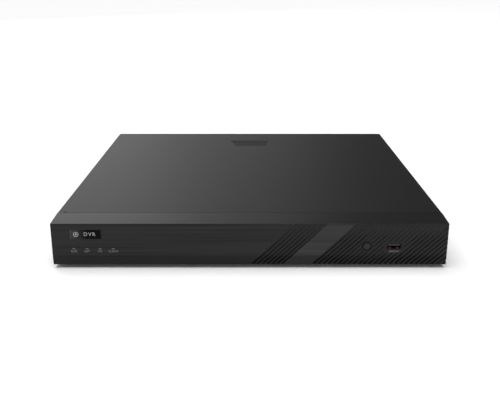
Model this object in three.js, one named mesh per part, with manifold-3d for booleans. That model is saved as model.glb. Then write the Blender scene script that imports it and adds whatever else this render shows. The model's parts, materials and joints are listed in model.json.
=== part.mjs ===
// A slim desktop video recorder: a folded steel case with a lift-off cover and a moulded front bezel,
// holding a recorder board, a hard disk, a mains power supply and a fan.
// Millimetres. +Z is up, the front faces -Y, and the origin is on the surface it stands on,
// under the middle of the whole object.
import * as THREE from "three";
import { mergeVertices } from "three/addons/utils/BufferGeometryUtils.js";
import Module from "manifold-3d";

// Driving dimensions
const caseWidth = 380;
const caseDepth = 330; // bezel face to the cover's rear lip
const caseHeight = 44; // underside of the tray to the top of the cover
const footHeight = 4;
const jackReach = 11; // how far the video jacks stand out behind the cover
const steel = 1; // sheet thickness
const gap = 0.3; // between pieces that only just miss each other

const yFront = -(caseDepth + jackReach) / 2;
const yRear = yFront + caseDepth;
const zBase = footHeight;
const zTop = zBase + caseHeight;
const zFloor = zBase + steel;
const xSide = caseWidth / 2;

// Bezel
const bandDepth = 24.3; // the strip of bezel that shows on top
const bandDrop = 1.4; // how far that strip falls towards the front
const bezelWall = 2.2;
const xBezel = xSide - 0.5;
const yBezelBack = yFront + bandDepth;
const lowerFacet = 10; // height of the facet that leans back at the foot of the face
const lowerLean = 0.65;
const zFaceTop = zTop - bandDrop;
const buttonX = 112.3;
const buttonZ = 23.3;
const buttonRadius = 3.9;
const usbX = 138.4;
const usbZ = 23.4;
const windowXs = [-168.5, -156, -143.5, -131];
const windowZ = 20.7;
const badge = { x: -156.6, z: 35.7, width: 30.6, height: 10.2 };

// Tray
const ySeam = yBezelBack + gap; // front edge of the cover
const yWall = ySeam + gap; // outer face of the tray's front wall
const yPanel = yRear - steel - gap; // outer face of the tray's rear panel
const xTray = xSide - steel - gap;
const sideFlange = 16;
const lipDrop = 3.3; // rear lip of the cover
const lipTab = 8; // the same lip where a screw holds it
const coverScrewZ = 43.4;
const sideScrewZ = 12;
const sideScrewY = 62;
const rearScrewXs = [-120, 176];

// Boards
const standoff = 5;
const boardThick = 1.6;
const zBoard = zFloor + standoff;
const zDeck = zBoard + boardThick + 0.05; // where board parts stand
const yBoardBack = yPanel - steel - 1;
const mainBoard = { x0: -185, x1: 68, y0: 20.5 };
const boardScrews = [[-180, 27], [62, 27], [-180, 132], [62, 128]];
const supply = { x0: 124, x1: 182, y0: 20, y1: 132 };

const disk = { width: 101.6, depth: 147, height: 26.1, x: -99, y: -66.5, lift: 2 };
const fan = { x: 92, z: 25.6, size: 40, depth: 15 };
const inlet = { x: 160, z: 24 };
const rocker = { x: 128, z: 24, tilt: 10 };

// Rear jacks: middle of each along X
const jackX = { lan: 56, data: 37, video: 18, vga: -9.5, audio: -35, bnc: [-73, -133], terminal: -174 };
const jackRows = [19.6, 33.6];
const jackPitch = 14.4;
const jackColumns = (x) => [-1.5, -0.5, 0.5, 1.5].map((step) => x + step * jackPitch);

// Fixings: (x, y) on the floor, (x, z) on the rear panel
const pairs = (us, vs) => us.flatMap((u) => vs.map((v) => [u, v]));
const feet = pairs([-150, 150], [-128, 118]);
const supplyStands = pairs([supply.x0 + 5, supply.x1 - 5], [supply.y0 + 5, supply.y1 - 5]);
const diskHoles = pairs([disk.x - 47.6, disk.x + 47.6], [disk.y - 32, disk.y + 44.2]);
const fanCorners = pairs([fan.x - 16, fan.x + 16], [fan.z - 16, fan.z + 16]);
const spareBayX = 21;
const groundScrew = { x: 178, z: 9.6 };
const hookXs = [-140, 0, 140];

const wasm = await Module();
wasm.setup();

// ---------- solids from three.js geometry ----------

function solidOf(geometry) {
  const bare = new THREE.BufferGeometry();
  bare.setAttribute("position", geometry.getAttribute("position"));
  bare.setIndex(geometry.index);
  const merged = mergeVertices(bare, 1e-4);
  return new wasm.Manifold(
    new wasm.Mesh({
      numProp: 3,
      vertProperties: new Float32Array(merged.attributes.position.array),
      triVerts: new Uint32Array(merged.index.array),
    }),
  );
}

function geometryOf(solid) {
  const mesh = solid.getMesh();
  return new THREE.BufferGeometry()
    .setAttribute("position", new THREE.BufferAttribute(mesh.vertProperties, 3))
    .setIndex(new THREE.BufferAttribute(mesh.triVerts, 1));
}

const join = (first, ...others) => others.reduce((whole, other) => whole.add(other), first);
const cut = (first, ...tools) => tools.reduce((whole, tool) => whole.subtract(tool), first);

// A block between two corners.
function block(x0, x1, y0, y1, z0, z1) {
  const geometry = new THREE.BoxGeometry(x1 - x0, y1 - y0, z1 - z0);
  return solidOf(geometry.translate((x0 + x1) / 2, (y0 + y1) / 2, (z0 + z1) / 2));
}

// A block of a size, about a middle.
function slab(x, y, z, wide, deep, high) {
  return block(x - wide / 2, x + wide / 2, y - deep / 2, y + deep / 2, z - high / 2, z + high / 2);
}

const turns = {
  x: (geometry) => geometry.rotateZ(-Math.PI / 2),
  y: (geometry) => geometry,
  z: (geometry) => geometry.rotateX(Math.PI / 2),
};

// A round bar along an axis, from a point, with an optional second radius at its far end.
function bar(axis, from, length, radius, sides = 16, farRadius = radius) {
  const geometry = new THREE.CylinderGeometry(farRadius, radius, length, sides);
  turns[axis](geometry.translate(0, length / 2, 0));
  return solidOf(geometry.translate(...from));
}

const shapeOf = (points) => new THREE.Shape(points.map(([u, v]) => new THREE.Vector2(u, v)));

function extrude(points, length) {
  return new THREE.ExtrudeGeometry(shapeOf(points), { depth: length, bevelEnabled: false });
}

// An outline of (x, y) points raised along Z.
const alongZ = (points, z0, z1) => solidOf(extrude(points, z1 - z0).translate(0, 0, z0));

// An outline of (x, z) points swept along Y.
function alongY(points, y0, y1) {
  return solidOf(extrude(points, y1 - y0).rotateX(Math.PI / 2).translate(0, y1, 0));
}

// An outline of (y, z) points swept along X.
function alongX(points, x0, x1) {
  const turn = new THREE.Matrix4().set(0, 0, 1, x0, 1, 0, 0, 0, 0, 1, 0, 0, 0, 0, 0, 1);
  return solidOf(extrude(points, x1 - x0).applyMatrix4(turn));
}

// Points of an arc, angles in degrees.
function arc(u, v, radius, from, to, steps) {
  return Array.from({ length: steps + 1 }, (_, i) => {
    const angle = THREE.MathUtils.degToRad(from + ((to - from) * i) / steps);
    return [u + radius * Math.cos(angle), v + radius * Math.sin(angle)];
  });
}

const circle = (u, v, radius, sides) => arc(u, v, radius, 0, 360 - 360 / sides, sides - 1);

// A strip of constant thickness that follows (y, z) points.
function strip(points, thickness, x0, x1) {
  const side = (sign) =>
    points.map(([y, z], i) => {
      const [ya, za] = points[Math.max(i - 1, 0)];
      const [yb, zb] = points[Math.min(i + 1, points.length - 1)];
      const half = (sign * thickness) / 2 / Math.hypot(yb - ya, zb - za);
      return [y - half * (zb - za), z + half * (yb - ya)];
    });
  return alongX([...side(1), ...side(-1).reverse()], x0, x1);
}

// A round lead through points.
function lead(points, radius, sides = 8, steps = 16) {
  const path = new THREE.CatmullRomCurve3(points.map((p) => new THREE.Vector3(...p)));
  const section = shapeOf(circle(0, 0, radius, sides));
  return solidOf(new THREE.ExtrudeGeometry(section, { extrudePath: path, steps, bevelEnabled: false }));
}

// ---------- finishes ----------

const finish = (color, roughness, metalness) =>
  new THREE.MeshStandardMaterial({ color, roughness, metalness });
const finishes = {
  coatedSteel: finish(0x2b2b2c, 0.55, 0.3),
  blackMoulding: finish(0x1f1f20, 0.45, 0),
  glossBlack: finish(0x0a0a0b, 0.12, 0),
  clearGuide: finish(0x8d8f90, 0.25, 0),
  softRubber: finish(0x141414, 0.9, 0),
  zincSteel: finish(0x8f9296, 0.35, 0.9),
  blackScrew: finish(0x161616, 0.4, 0.8),
  boardGreen: finish(0x1c5a36, 0.5, 0),
  nickel: finish(0xb9b7b0, 0.25, 1),
  jackPlastic: finish(0x101010, 0.5, 0),
  terminalGreen: finish(0x2c8a48, 0.5, 0),
  aluminium: finish(0xa9acae, 0.35, 0.9),
  castAluminium: finish(0x9a9c9e, 0.5, 0.8),
  chipBlack: finish(0x17181a, 0.5, 0),
  tapeYellow: finish(0xc9a53a, 0.5, 0),
  sleeveBlue: finish(0x1f2c55, 0.4, 0),
  cableRed: finish(0xa3241f, 0.5, 0),
  cableBlack: finish(0x131313, 0.6, 0),
  cableGrey: finish(0x9b9b9b, 0.6, 0),
};

const recorder = new THREE.Group();

function part(name, solid, material, position = [0, 0, 0]) {
  const mesh = new THREE.Mesh(geometryOf(solid), finishes[material]);
  mesh.name = name;
  mesh.position.set(...position);
  recorder.add(mesh);
}

// ---------- enclosure ----------

// Upright slots through a side wall, centred on each y.
function sideSlots(x0, x1) {
  const slot = { wide: 2.6, low: 23, high: 41, pitch: 6.2, count: 15 };
  const rows = [-78, 78].flatMap((middle) =>
    Array.from({ length: slot.count }, (_, i) => middle + (i - (slot.count - 1) / 2) * slot.pitch),
  );
  return rows.map((y) => block(x0, x1, y - slot.wide / 2, y + slot.wide / 2, slot.low, slot.high));
}

// The pressed finger well near the back of the cover: a tapering four-sided pan.
function fingerWell(grow, top) {
  const back = { y: yFront + 294, half: 27.3 };
  const front = { y: yFront + 264, half: 20.4 };
  const depth = 1.7;
  const slope = 1.6; // how far each wall leans in over that depth
  const outline = [
    [-front.half, front.y],
    [front.half, front.y],
    [back.half, back.y],
    [-back.half, back.y],
  ];
  const corners = (shrink, z) =>
    outline.map(([x, y]) => [
      x - Math.sign(x) * (shrink - grow),
      y + (y === front.y ? shrink - grow : grow - shrink),
      z,
    ]);
  const points = [...corners(0, top), ...corners(slope, zTop - depth - grow)].flat();
  const faces = [0, 1, 2, 0, 2, 3, 4, 6, 5, 4, 7, 6];
  for (let i = 0; i < 4; i += 1) {
    const next = (i + 1) % 4;
    faces.push(i, 4 + i, 4 + next, i, 4 + next, next);
  }
  const geometry = new THREE.BufferGeometry();
  geometry.setAttribute("position", new THREE.Float32BufferAttribute(points, 3));
  geometry.setIndex(faces);
  return solidOf(geometry);
}

function topCover() {
  const bend = 1.6;
  const skirt = zFloor - 0.4;
  const outer = [
    ...arc(-xSide + bend, zTop - bend, bend, 180, 90, 3),
    ...arc(xSide - bend, zTop - bend, bend, 90, 0, 3),
  ];
  const inner = [
    ...arc(xSide - bend, zTop - bend, bend - steel, 0, 90, 3),
    ...arc(-xSide + bend, zTop - bend, bend - steel, 90, 180, 3),
  ];
  const right = [[xSide, skirt], [xSide - steel, skirt]];
  const left = [[-xSide + steel, skirt], [-xSide, skirt]];
  const arch = [...outer, ...right, ...inner, ...left];
  const lip = [[-xSide, zTop - lipDrop], ...outer, [xSide, zTop - lipDrop]];
  const tabs = rearScrewXs.map((x) => block(x - 7, x + 7, yRear - steel, yRear, zTop - lipTab, zTop - 1));
  const notches = rearScrewXs.flatMap((x) => [
    block(x - 1.7, x + 1.7, yRear - 2, yRear + 1, zTop - lipTab - 1, coverScrewZ),
    bar("y", [x, yRear - 2, coverScrewZ], 3, 1.7, 12),
  ]);
  const sideNotches = [
    block(-xSide - 1, xSide + 1, sideScrewY - 1.8, sideScrewY + 1.8, skirt - 1, sideScrewZ),
    bar("x", [-xSide - 1, sideScrewY, sideScrewZ], caseWidth + 2, 1.8, 12),
  ];
  const pips = [-1, 1].map((side) => bar("z", [side * 182.6, ySeam + 1.9, zTop - 2], 3, 0.95, 12));
  const shell = join(
    alongY(arch, ySeam, yRear),
    alongY(lip, yRear - steel, yRear),
    ...tabs,
    fingerWell(steel, zTop - 0.01),
  );
  return cut(
    shell,
    fingerWell(0, zTop + 0.01),
    ...notches,
    ...sideNotches,
    ...pips,
    ...sideSlots(-xSide - 1, xSide + 1),
  );
}

// Openings in the rear panel: [x0, x1, z0, z1].
function panelOpenings() {
  const room = 0.5;
  const around = (x, z, wide, high) => {
    const [halfWide, halfHigh] = [wide / 2 + room, high / 2 + room];
    return [x - halfWide, x + halfWide, z - halfHigh, z + halfHigh];
  };
  return [
    around(jackX.lan, zDeck + 6.8, 16, 13.6),
    around(jackX.data, zDeck + 7.8, 14.4, 15.6),
    around(jackX.video, zDeck + 3, 15, 6),
    around(jackX.vga, zDeck + 6.3, 19, 10.6),
    around(jackX.terminal, zDeck + 9, 19.6, 18),
    around(inlet.x, inlet.z, 27.2, 19.6),
    around(rocker.x, rocker.z, 13, 19.4),
  ];
}

// Hexagonal air holes inside the fan's circle.
function fanHoles(y0, y1) {
  const pitch = 7;
  const reach = fan.size / 2 - 2.8;
  const holes = [];
  for (let row = -2; row <= 2; row += 1) {
    for (let column = -3; column <= 3; column += 1) {
      const x = (column + (row % 2 ? 0.5 : 0)) * pitch;
      const z = row * pitch * Math.sqrt(3) * 0.5;
      if (Math.hypot(x, z) < reach) holes.push(alongY(arc(fan.x + x, fan.z + z, 3.1, 30, 330, 5), y0, y1));
    }
  }
  return holes;
}

function baseTray() {
  const xWall = xTray - steel;
  const walls = [
    block(-xTray, -xWall, yWall, yPanel, zBase, zBase + sideFlange),
    block(xWall, xTray, yWall, yPanel, zBase, zBase + sideFlange),
    block(-xTray, xTray, yPanel - steel, yPanel, zBase, zTop - steel - gap),
    block(-xTray, xTray, yWall, yWall + steel, zBase, zTop - steel - gap),
    block(-xTray, xTray, yWall, yWall + 12, zTop - 2 * steel - gap, zTop - steel - gap),
  ];
  const stands = supplyStands.map(([x, y]) => bar("z", [x, y, zFloor - 0.2], standoff + 0.1, 3.4, 8, 2.6));
  const standHoles = supplyStands.map(([x, y]) => bar("z", [x, y, zBase - 1], 8, 1.4, 6));
  const pads = diskHoles.map(([x, y]) => bar("z", [x, y, zFloor - 0.2], disk.lift, 5.4, 8, 4.4));
  const padHoles = diskHoles.map(([x, y]) => bar("z", [x, y, zBase - 1], 6, 1.8, 6));
  const spareHoles = diskHoles.map(([x, y]) =>
    bar("z", [x - disk.x + spareBayX, y, zBase - 1], 6, 1.8, 6),
  );
  const drill = (x, z, radius, sides = 8) => bar("y", [x, yPanel - 3, z], 5, radius, sides);
  const rearCuts = [
    ...panelOpenings().map(([x0, x1, z0, z1]) => block(x0, x1, yPanel - 3, yPanel + 1, z0, z1)),
    ...pairs(jackX.bnc.flatMap(jackColumns), jackRows).map(([x, z]) => drill(x, z, 6.3, 10)),
    ...jackRows.map((z) => drill(jackX.audio, z, 5.7, 10)),
    ...[-12.5, 12.5].map((x) => drill(jackX.vga + x, zDeck + 6.3, 1.8)),
    ...rearScrewXs.map((x) => drill(x, coverScrewZ, 1.6)),
    ...fanHoles(yPanel - 3, yPanel + 1),
    ...fanCorners.map(([x, z]) => drill(x, z, 2)),
    drill(groundScrew.x, groundScrew.z, 2),
  ];
  const sideHole = bar("x", [-xTray - 1, sideScrewY, sideScrewZ], 2 * xTray + 2, 1.6, 8);
  const frontCuts = [
    block(-166, -148, yWall - 1, yWall + 3, 8, 18),
    block(98, 124, yWall - 1, yWall + 3, 8, 18),
    ...hookXs.map((x) => block(x - 5.5, x + 5.5, yWall - 1, yWall + 2, 40.7, 43.3)),
    ...hookXs.map((x) => block(x - 5.5, x + 5.5, yWall - 1, yWall + 2, 7.7, 10.3)),
  ];
  const floorSlots = [-120, -106, -92, -78].map((x) =>
    block(x - 2, x + 2, -48, -20, zBase - 1, zFloor + 1),
  );
  const footHoles = feet.map(([x, y]) => bar("z", [x, y, zBase - 1], 3, 2.2, 8));
  const floor = block(-xTray, xTray, yWall, yPanel, zBase, zFloor);
  return cut(
    join(floor, ...walls, ...stands, ...pads),
    ...standHoles,
    ...padHoles,
    ...spareHoles,
    ...rearCuts,
    sideHole,
    ...frontCuts,
    ...floorSlots,
    ...footHoles,
  );
}

// (y, z) outline of a snap hook: a root on the bezel's skin, an arm, and a barb on the arm's far side.
function hookOutline(zArm, zRoot) {
  const away = Math.sign(zRoot - zArm);
  const back = yWall + steel + gap;
  const points = [
    [yBezelBack - 7, zRoot],
    [yBezelBack - 7, zArm - away],
    [back, zArm - away],
    [back, zArm - 2.4 * away],
    [back + 2.2, zArm - away],
    [back + 2.2, zArm + away],
    [yBezelBack - 4, zArm + away],
    [yBezelBack - 4, zRoot],
  ];
  return away > 0 ? points : points.reverse();
}

function frontBezel() {
  const outline = (inset, back) => [
    [yFront + inset, zFaceTop - inset],
    [back, zFaceTop - inset + (bandDrop * (back - yFront)) / bandDepth],
    [back, zBase + inset],
    [yFront + lowerLean + inset, zBase + inset],
    [yFront + inset, zBase + lowerFacet],
  ];
  const shell = cut(
    alongX(outline(0, yBezelBack), -xBezel, xBezel),
    alongX(outline(bezelWall, yBezelBack + 1), -xBezel + bezelWall, xBezel - bezelWall),
  );
  const inside = yFront + bezelWall;
  const posts = [[-176, 13.6], [-124, 13.6], [98, 13.6], [152, 13.6], [98, 33], [152, 33]].map(([x, z]) =>
    bar("y", [x, inside - 0.5, z], 12.4, 2.6, 10),
  );
  // each hook reaches through a slot in the tray's front wall and catches behind it
  const hooks = hookXs.flatMap((x) => [
    alongX(hookOutline(42, 46), x - 5, x + 5),
    alongX(hookOutline(9, 5), x - 5, x + 5),
  ]);
  const face = yFront - 1;
  return cut(
    join(shell, ...posts, ...hooks),
    bar("y", [buttonX, face, buttonZ], 5, 4.6, 20),
    slab(usbX, yFront, usbZ, 13.9, 12, 6.4),
    ...windowXs.map((x) => slab(x, yFront, windowZ, 3.5, 12, 1.8)),
    slab(badge.x, yFront, badge.z, badge.width + 0.6, 1.8, badge.height + 0.6),
    slab(0, yBezelBack, 25, 60, 8, 8),
  );
}

function lightGuide() {
  const carrier = block(windowXs[0] - 3, windowXs[3] + 3, yFront + 4, yFront + 6, windowZ - 2, windowZ + 2);
  const fingers = windowXs.map((x) =>
    block(x - 1.5, x + 1.5, yFront - 0.1, yFront + 9.5, windowZ - 0.6, windowZ + 0.6),
  );
  return join(carrier, ...fingers);
}

function powerButton() {
  return join(
    bar("y", [0, -0.2, 0], 3.4, buttonRadius, 20),
    bar("y", [0, 2.8, 0], 1.4, 5.6, 20),
    bar("y", [0, 3.8, 0], 5, 1.9, 12),
  );
}

function foot() {
  const pad = bar("z", [0, 0, 0], footHeight - 0.1, 8, 20, 9);
  return join(pad, bar("z", [0, 0, footHeight - 0.5], 2.6, 1.8, 8));
}

// A pan-head screw whose head points along +Y.
function screw(headRadius, headLength, shankRadius, shankLength) {
  return cut(
    join(
      bar("y", [0, 0, 0], headLength, headRadius, 10, headRadius * 0.8),
      bar("y", [0, -shankLength, 0], shankLength + 0.2, shankRadius, 6),
    ),
    slab(0, headLength, 0, headRadius * 1.1, 1.2, 0.9),
    slab(0, headLength, 0, 0.9, 1.2, headRadius * 1.1),
  );
}

part("base_tray", baseTray(), "coatedSteel");
part("top_cover", topCover(), "coatedSteel");
part("front_bezel", frontBezel(), "blackMoulding");
const plate = slab(0, 0.4, 0, badge.width, 0.8, badge.height);
part("badge_plate", plate, "glossBlack", [badge.x, yFront + 0.02, badge.z]);
part("light_guide", lightGuide(), "clearGuide");
part("power_button", powerButton(), "blackMoulding", [buttonX, yFront, buttonZ]);
feet.forEach(([x, y], i) => part(`foot_${i + 1}`, foot(), "softRubber", [x, y, 0]));
rearScrewXs.forEach((x, i) => {
  part(`rear_cover_screw_${i + 1}`, screw(3, 1.9, 1.25, 6), "blackScrew", [x, yRear + 0.2, coverScrewZ]);
});

function sideScrew(name, side) {
  part(name, screw(3, 1.6, 1.25, 5), "blackScrew", [side * (xSide + 0.2), sideScrewY, sideScrewZ]);
  recorder.getObjectByName(name).rotation.z = (-side * Math.PI) / 2;
}
sideScrew("side_cover_screw_left", -1);
sideScrew("side_cover_screw_right", 1);

// ---------- front boards ----------

const yFrontBoard = yFront + bezelWall + 12; // front face of both small boards

function buttonBoard() {
  const plate = block(94, 156, yFrontBoard, yFrontBoard + boardThick, 10, 37);
  const plug = block(102, 116, yFrontBoard + 1.5, yFrontBoard + 7, 10.5, 16.5);
  return join(plate, plug);
}

function ledBoard() {
  const plate = block(-180, -120, yFrontBoard, yFrontBoard + boardThick, 10, 26);
  const lamps = windowXs.map((x) => slab(x, yFrontBoard - 0.55, windowZ, 3.2, 1.3, 1.6));
  const plug = block(-162, -152, yFrontBoard + 1.5, yFrontBoard + 6, 11, 16.5);
  return join(plate, ...lamps, plug);
}

function usbShell() {
  const half = 6.57;
  const high = 2.85;
  const back = yFrontBoard - 0.1;
  const sleeve = (inset, y0, y1) =>
    block(usbX - half + inset, usbX + half - inset, y0, y1, usbZ - high + inset, usbZ + high - inset);
  return cut(sleeve(0, yFront + 0.1, back), sleeve(0.35, yFront - 1, back - 1));
}

part("button_board", buttonBoard(), "boardGreen");
part("led_board", ledBoard(), "boardGreen");
part("usb_port_shell", usbShell(), "nickel");
const tongue = block(-5.6, 5.6, yFront + 0.9, yFrontBoard - 1.2, 0.3, 2.1);
part("usb_port_tongue", tongue, "jackPlastic", [usbX, 0, usbZ]);
const switchBody = cut(slab(0, 0, 0, 6, 3.4, 6), bar("y", [0, -2, 0], 1.5, 2.1, 12));
part("power_switch_body", switchBody, "jackPlastic", [buttonX, yFrontBoard - 1.75, buttonZ]);
const plunger = bar("y", [0, -1.4, 0], 2, 1.7, 12);
part("power_switch_plunger", plunger, "jackPlastic", [buttonX, yFrontBoard - 3.5, buttonZ]);

// ---------- recorder board and its jacks ----------

function mainBoardPlate() {
  const plate = block(mainBoard.x0, mainBoard.x1, mainBoard.y0, yBoardBack, zBoard, zBoard + boardThick);
  return cut(plate, ...boardScrews.map(([x, y]) => bar("z", [x, y, zBoard - 1], 4, 1.7, 8)));
}

// A ganged block of twisted-lock video jacks, two rows of four.
function videoJackBlock() {
  const yBody = yPanel - steel - gap;
  const body = block(-29, 29, yBody - 19, yBody, 0, 28.4);
  const top = yRear + jackReach;
  const jacks = jackColumns(0).flatMap((x) =>
    jackRows.map((row) => {
      const z = row - zDeck;
      const barrel = join(
        bar("y", [x, yBody - 1, z], yPanel + 1.6 - yBody, 5.9, 10),
        bar("y", [x, yPanel, z], top - yPanel, 4.8, 10),
        slab(x, top - 4, z, 11.8, 1.9, 1.9),
      );
      const socket = cut(barrel, bar("y", [x, top - 9, z], 10, 3.8, 10));
      return join(socket, bar("y", [x, top - 9.5, z], 8, 1.6, 6));
    }),
  );
  return join(body, ...jacks);
}

function audioJackBlock() {
  const yBody = yPanel - steel - gap;
  const body = block(-6, 6, yBody - 14, yBody, 0, 28.4);
  const jacks = jackRows.map((row) => {
    const z = row - zDeck;
    const barrel = join(bar("y", [0, yBody - 1, z], 3.4, 5.2, 10), bar("y", [0, yPanel, z], 9, 4.1, 10));
    return cut(barrel, bar("y", [0, yPanel + 1, z], 9, 1.7, 8));
  });
  return join(body, ...jacks);
}

function vgaPort() {
  const yBody = yPanel - steel - gap;
  const shell = [[-8.4, 10.4], [8.4, 10.4], [6.9, 2.2], [-6.9, 2.2]];
  const nuts = [-12.5, 12.5].flatMap((x) => [
    bar("y", [x, yBody - 2, 6.3], 3.2 + steel + gap, 1.4, 6),
    bar("y", [x, yPanel + gap, 6.3], 4.6, 2.6, 6),
  ]);
  const holes = [-1, 0, 1].flatMap((row) =>
    [-2, -1, 0, 1, 2].map((column) =>
      bar("y", [column * 2.3 + (row ? 0 : 1.1), yPanel + 2, 6.3 + row * 2.1], 6, 0.5, 4),
    ),
  );
  return cut(
    join(block(-15.4, 15.4, yBody - 9, yBody, 0, 12.5), alongY(shell, yBody - 1, yPanel + 6), ...nuts),
    ...holes,
  );
}

function networkPort() {
  const face = yPanel + 1;
  return cut(
    block(-8, 8, face - 21, face, 0, 13.6),
    block(-5.9, 5.9, face - 14, face + 1, 2.2, 10.4),
    block(-3.1, 3.1, face - 14, face + 1, 10.3, 12.2),
  );
}

function dataPortPair() {
  const face = yPanel + 0.8;
  const openings = [0.9, 9.1].map((z) => block(-6.3, 6.3, face - 14, face + 1, z, z + 5.5));
  const tongues = [0.9, 9.1].map((z) => block(-5.6, 5.6, face - 14.5, face - 0.8, z + 3, z + 4.9));
  return join(cut(block(-7.2, 7.2, face - 17, face, 0, 15.5), ...openings), ...tongues);
}

function displayPort() {
  const face = yPanel + 0.8;
  const mouth = [[-7, 5.3], [7, 5.3], [7, 3.2], [5.2, 1], [-5.2, 1], [-7, 3.2]];
  return join(
    cut(block(-7.5, 7.5, face - 11, face, 0, 6), alongY(mouth, face - 8, face + 1)),
    block(-5.6, 5.6, face - 8.5, face - 0.8, 2.9, 4.1),
  );
}

function terminalBlock() {
  const face = yPanel + 3;
  const ways = [-2, -1, 0, 1, 2].map((step) => step * 3.81);
  return cut(
    block(-9.7, 9.7, face - 14, face, 0, 17.6),
    ...ways.map((x) => slab(x, face, 4.4, 2.6, 8, 3)),
    ...ways.map((x) => slab(x, face, 12.2, 2.6, 8, 3)),
    ...ways.map((x) => bar("z", [x, face - 5.5, 16], 3, 1.3, 8)),
  );
}

// Heat sink with upright fins, standing on the processor.
function heatsink() {
  const fins = Array.from({ length: 9 }, (_, i) => slab(-18 + i * 4.5, 0, 9, 1.3, 36, 12));
  return join(slab(0, 0, 2, 38, 36, 4), ...fins);
}

// Hexagonal pillar riveted to the floor, with the board's screw in its top.
function boardPillar() {
  const underHead = standoff + boardThick + 0.15;
  return cut(
    join(
      bar("z", [0, 0, 0.05], standoff - 0.1, 3.1, 6),
      bar("z", [0, 0, standoff - 0.2], boardThick + 0.6, 1.2, 6),
      bar("z", [0, 0, underHead], 1.6, 2.7, 10, 2.2),
    ),
    slab(0, 0, underHead + 1.6, 3, 0.9, 1.2),
    slab(0, 0, underHead + 1.6, 0.9, 3, 1.2),
  );
}

part("main_board", mainBoardPlate(), "boardGreen");
boardScrews.forEach(([x, y], i) => part(`board_pillar_${i + 1}`, boardPillar(), "zincSteel", [x, y, zFloor]));
jackX.bnc.forEach((x, i) => part(`video_jack_block_${i + 1}`, videoJackBlock(), "nickel", [x, 0, zDeck]));
part("audio_jack_block", audioJackBlock(), "jackPlastic", [jackX.audio, 0, zDeck]);
part("monitor_port", vgaPort(), "nickel", [jackX.vga, 0, zDeck]);
part("display_port", displayPort(), "nickel", [jackX.video, 0, zDeck]);
part("rear_usb_ports", dataPortPair(), "nickel", [jackX.data, 0, zDeck]);
part("network_port", networkPort(), "nickel", [jackX.lan, 0, zDeck]);
part("alarm_terminal_block", terminalBlock(), "terminalGreen", [jackX.terminal, 0, zDeck]);
part("processor", slab(0, 0, 1.2, 27, 27, 2.3), "chipBlack", [-62, 74, zDeck]);
part("heatsink", heatsink(), "aluminium", [-62, 74, zDeck + 2.5]);
part("clock_battery", bar("z", [0, 0, 0], 3.2, 10, 20), "nickel", [22, 52, zDeck + 1.6]);
const holder = cut(slab(0, 0, 2, 24, 24, 4), bar("z", [0, 0, 1.5], 4, 10.4, 20));
part("battery_holder", holder, "jackPlastic", [22, 52, zDeck]);

// ---------- power entry, supply and fan ----------

function mainsInlet() {
  const mouth = [[-12, -8], [12, -8], [12, 3.6], [7.6, 8], [-7.6, 8], [-12, 3.6]];
  const flange = block(-15.5, 15.5, yPanel + 0.2, yPanel + 2.8, -12, 12);
  const box = block(-13.5, 13.5, yPanel - 20, yPanel + 1, -9.7, 9.7);
  const shell = cut(join(flange, box), alongY(mouth, yPanel - 14, yPanel + 4));
  const pins = [[-7, -2], [7, -2], [0, 2]].map(([x, z]) => slab(x, yPanel - 7, z, 2, 14.4, 4));
  return join(shell, ...pins);
}

function rockerFrame() {
  return cut(
    join(slab(0, yPanel + 1.1, 0, 15, 1.8, 21), block(-6.4, 6.4, yPanel - 16, yPanel + 1, -9.6, 9.6)),
    block(-5.3, 5.3, yPanel - 9, yPanel + 3, -8.8, 8.8),
  );
}

// Two flat facets that meet at a shallow V, turning about the pins at the origin.
function rockerLever() {
  const reach = 8;
  const lift = reach * Math.tan(THREE.MathUtils.degToRad(rocker.tilt));
  const outline = [
    [2.6 + lift, -reach],
    [2.6, 0],
    [2.6 + lift, reach],
    [-0.6, reach - 1],
    [-2.4, 0],
    [-0.6, 1 - reach],
  ];
  return join(alongX(outline, -4.9, 4.9), bar("x", [-5.1, 0, 0], 10.2, 1.2, 10));
}

function fanFrame() {
  const half = fan.size / 2;
  const struts = [90, 210, 330].map((angle) => {
    const [[x, z]] = arc(0, 0, 14, angle, angle, 1);
    const beam = new THREE.BoxGeometry(3, 2, 12).rotateY(THREE.MathUtils.degToRad(90 - angle));
    return solidOf(beam.translate(x, 1, z));
  });
  const square = slab(0, fan.depth / 2, 0, fan.size, fan.depth, fan.size);
  const duct = cut(square, bar("y", [0, -1, 0], fan.depth + 2, half - 1, 28));
  const screwHoles = pairs([-16, 16], [-16, 16]).map(([x, z]) => bar("y", [x, -1, z], fan.depth + 2, 1.9, 8));
  return cut(join(duct, ...struts, bar("y", [0, 0, 0], 2.2, 9.6, 20)), ...screwHoles);
}

function fanRotor() {
  const blades = Array.from({ length: 7 }, (_, i) => {
    const blade = new THREE.BoxGeometry(9.6, 1.1, 9).translate(13.1, 0, 0);
    blade.rotateX(THREE.MathUtils.degToRad(42)).rotateY((i * 2 * Math.PI) / 7);
    return solidOf(blade.translate(0, 8.6, 0));
  });
  return join(bar("y", [0, 2.9, 0], 11.4, 9.8, 21, 9.4), ...blades);
}

function supplyBoard() {
  const plate = block(supply.x0, supply.x1, supply.y0, supply.y1, zBoard, zBoard + boardThick);
  const socket = slab(supply.x0 + 13, supply.y0 + 16, zBoard + 6, 20, 8, 10);
  const coil = slab(supply.x0 + 46, supply.y1 - 25, zBoard + 9.5, 16, 18, 17);
  const holes = supplyStands.map(([x, y]) => bar("z", [x, y, zBoard - 1], 4, 1.7, 8));
  return cut(join(plate, socket, coil), ...holes);
}

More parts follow.
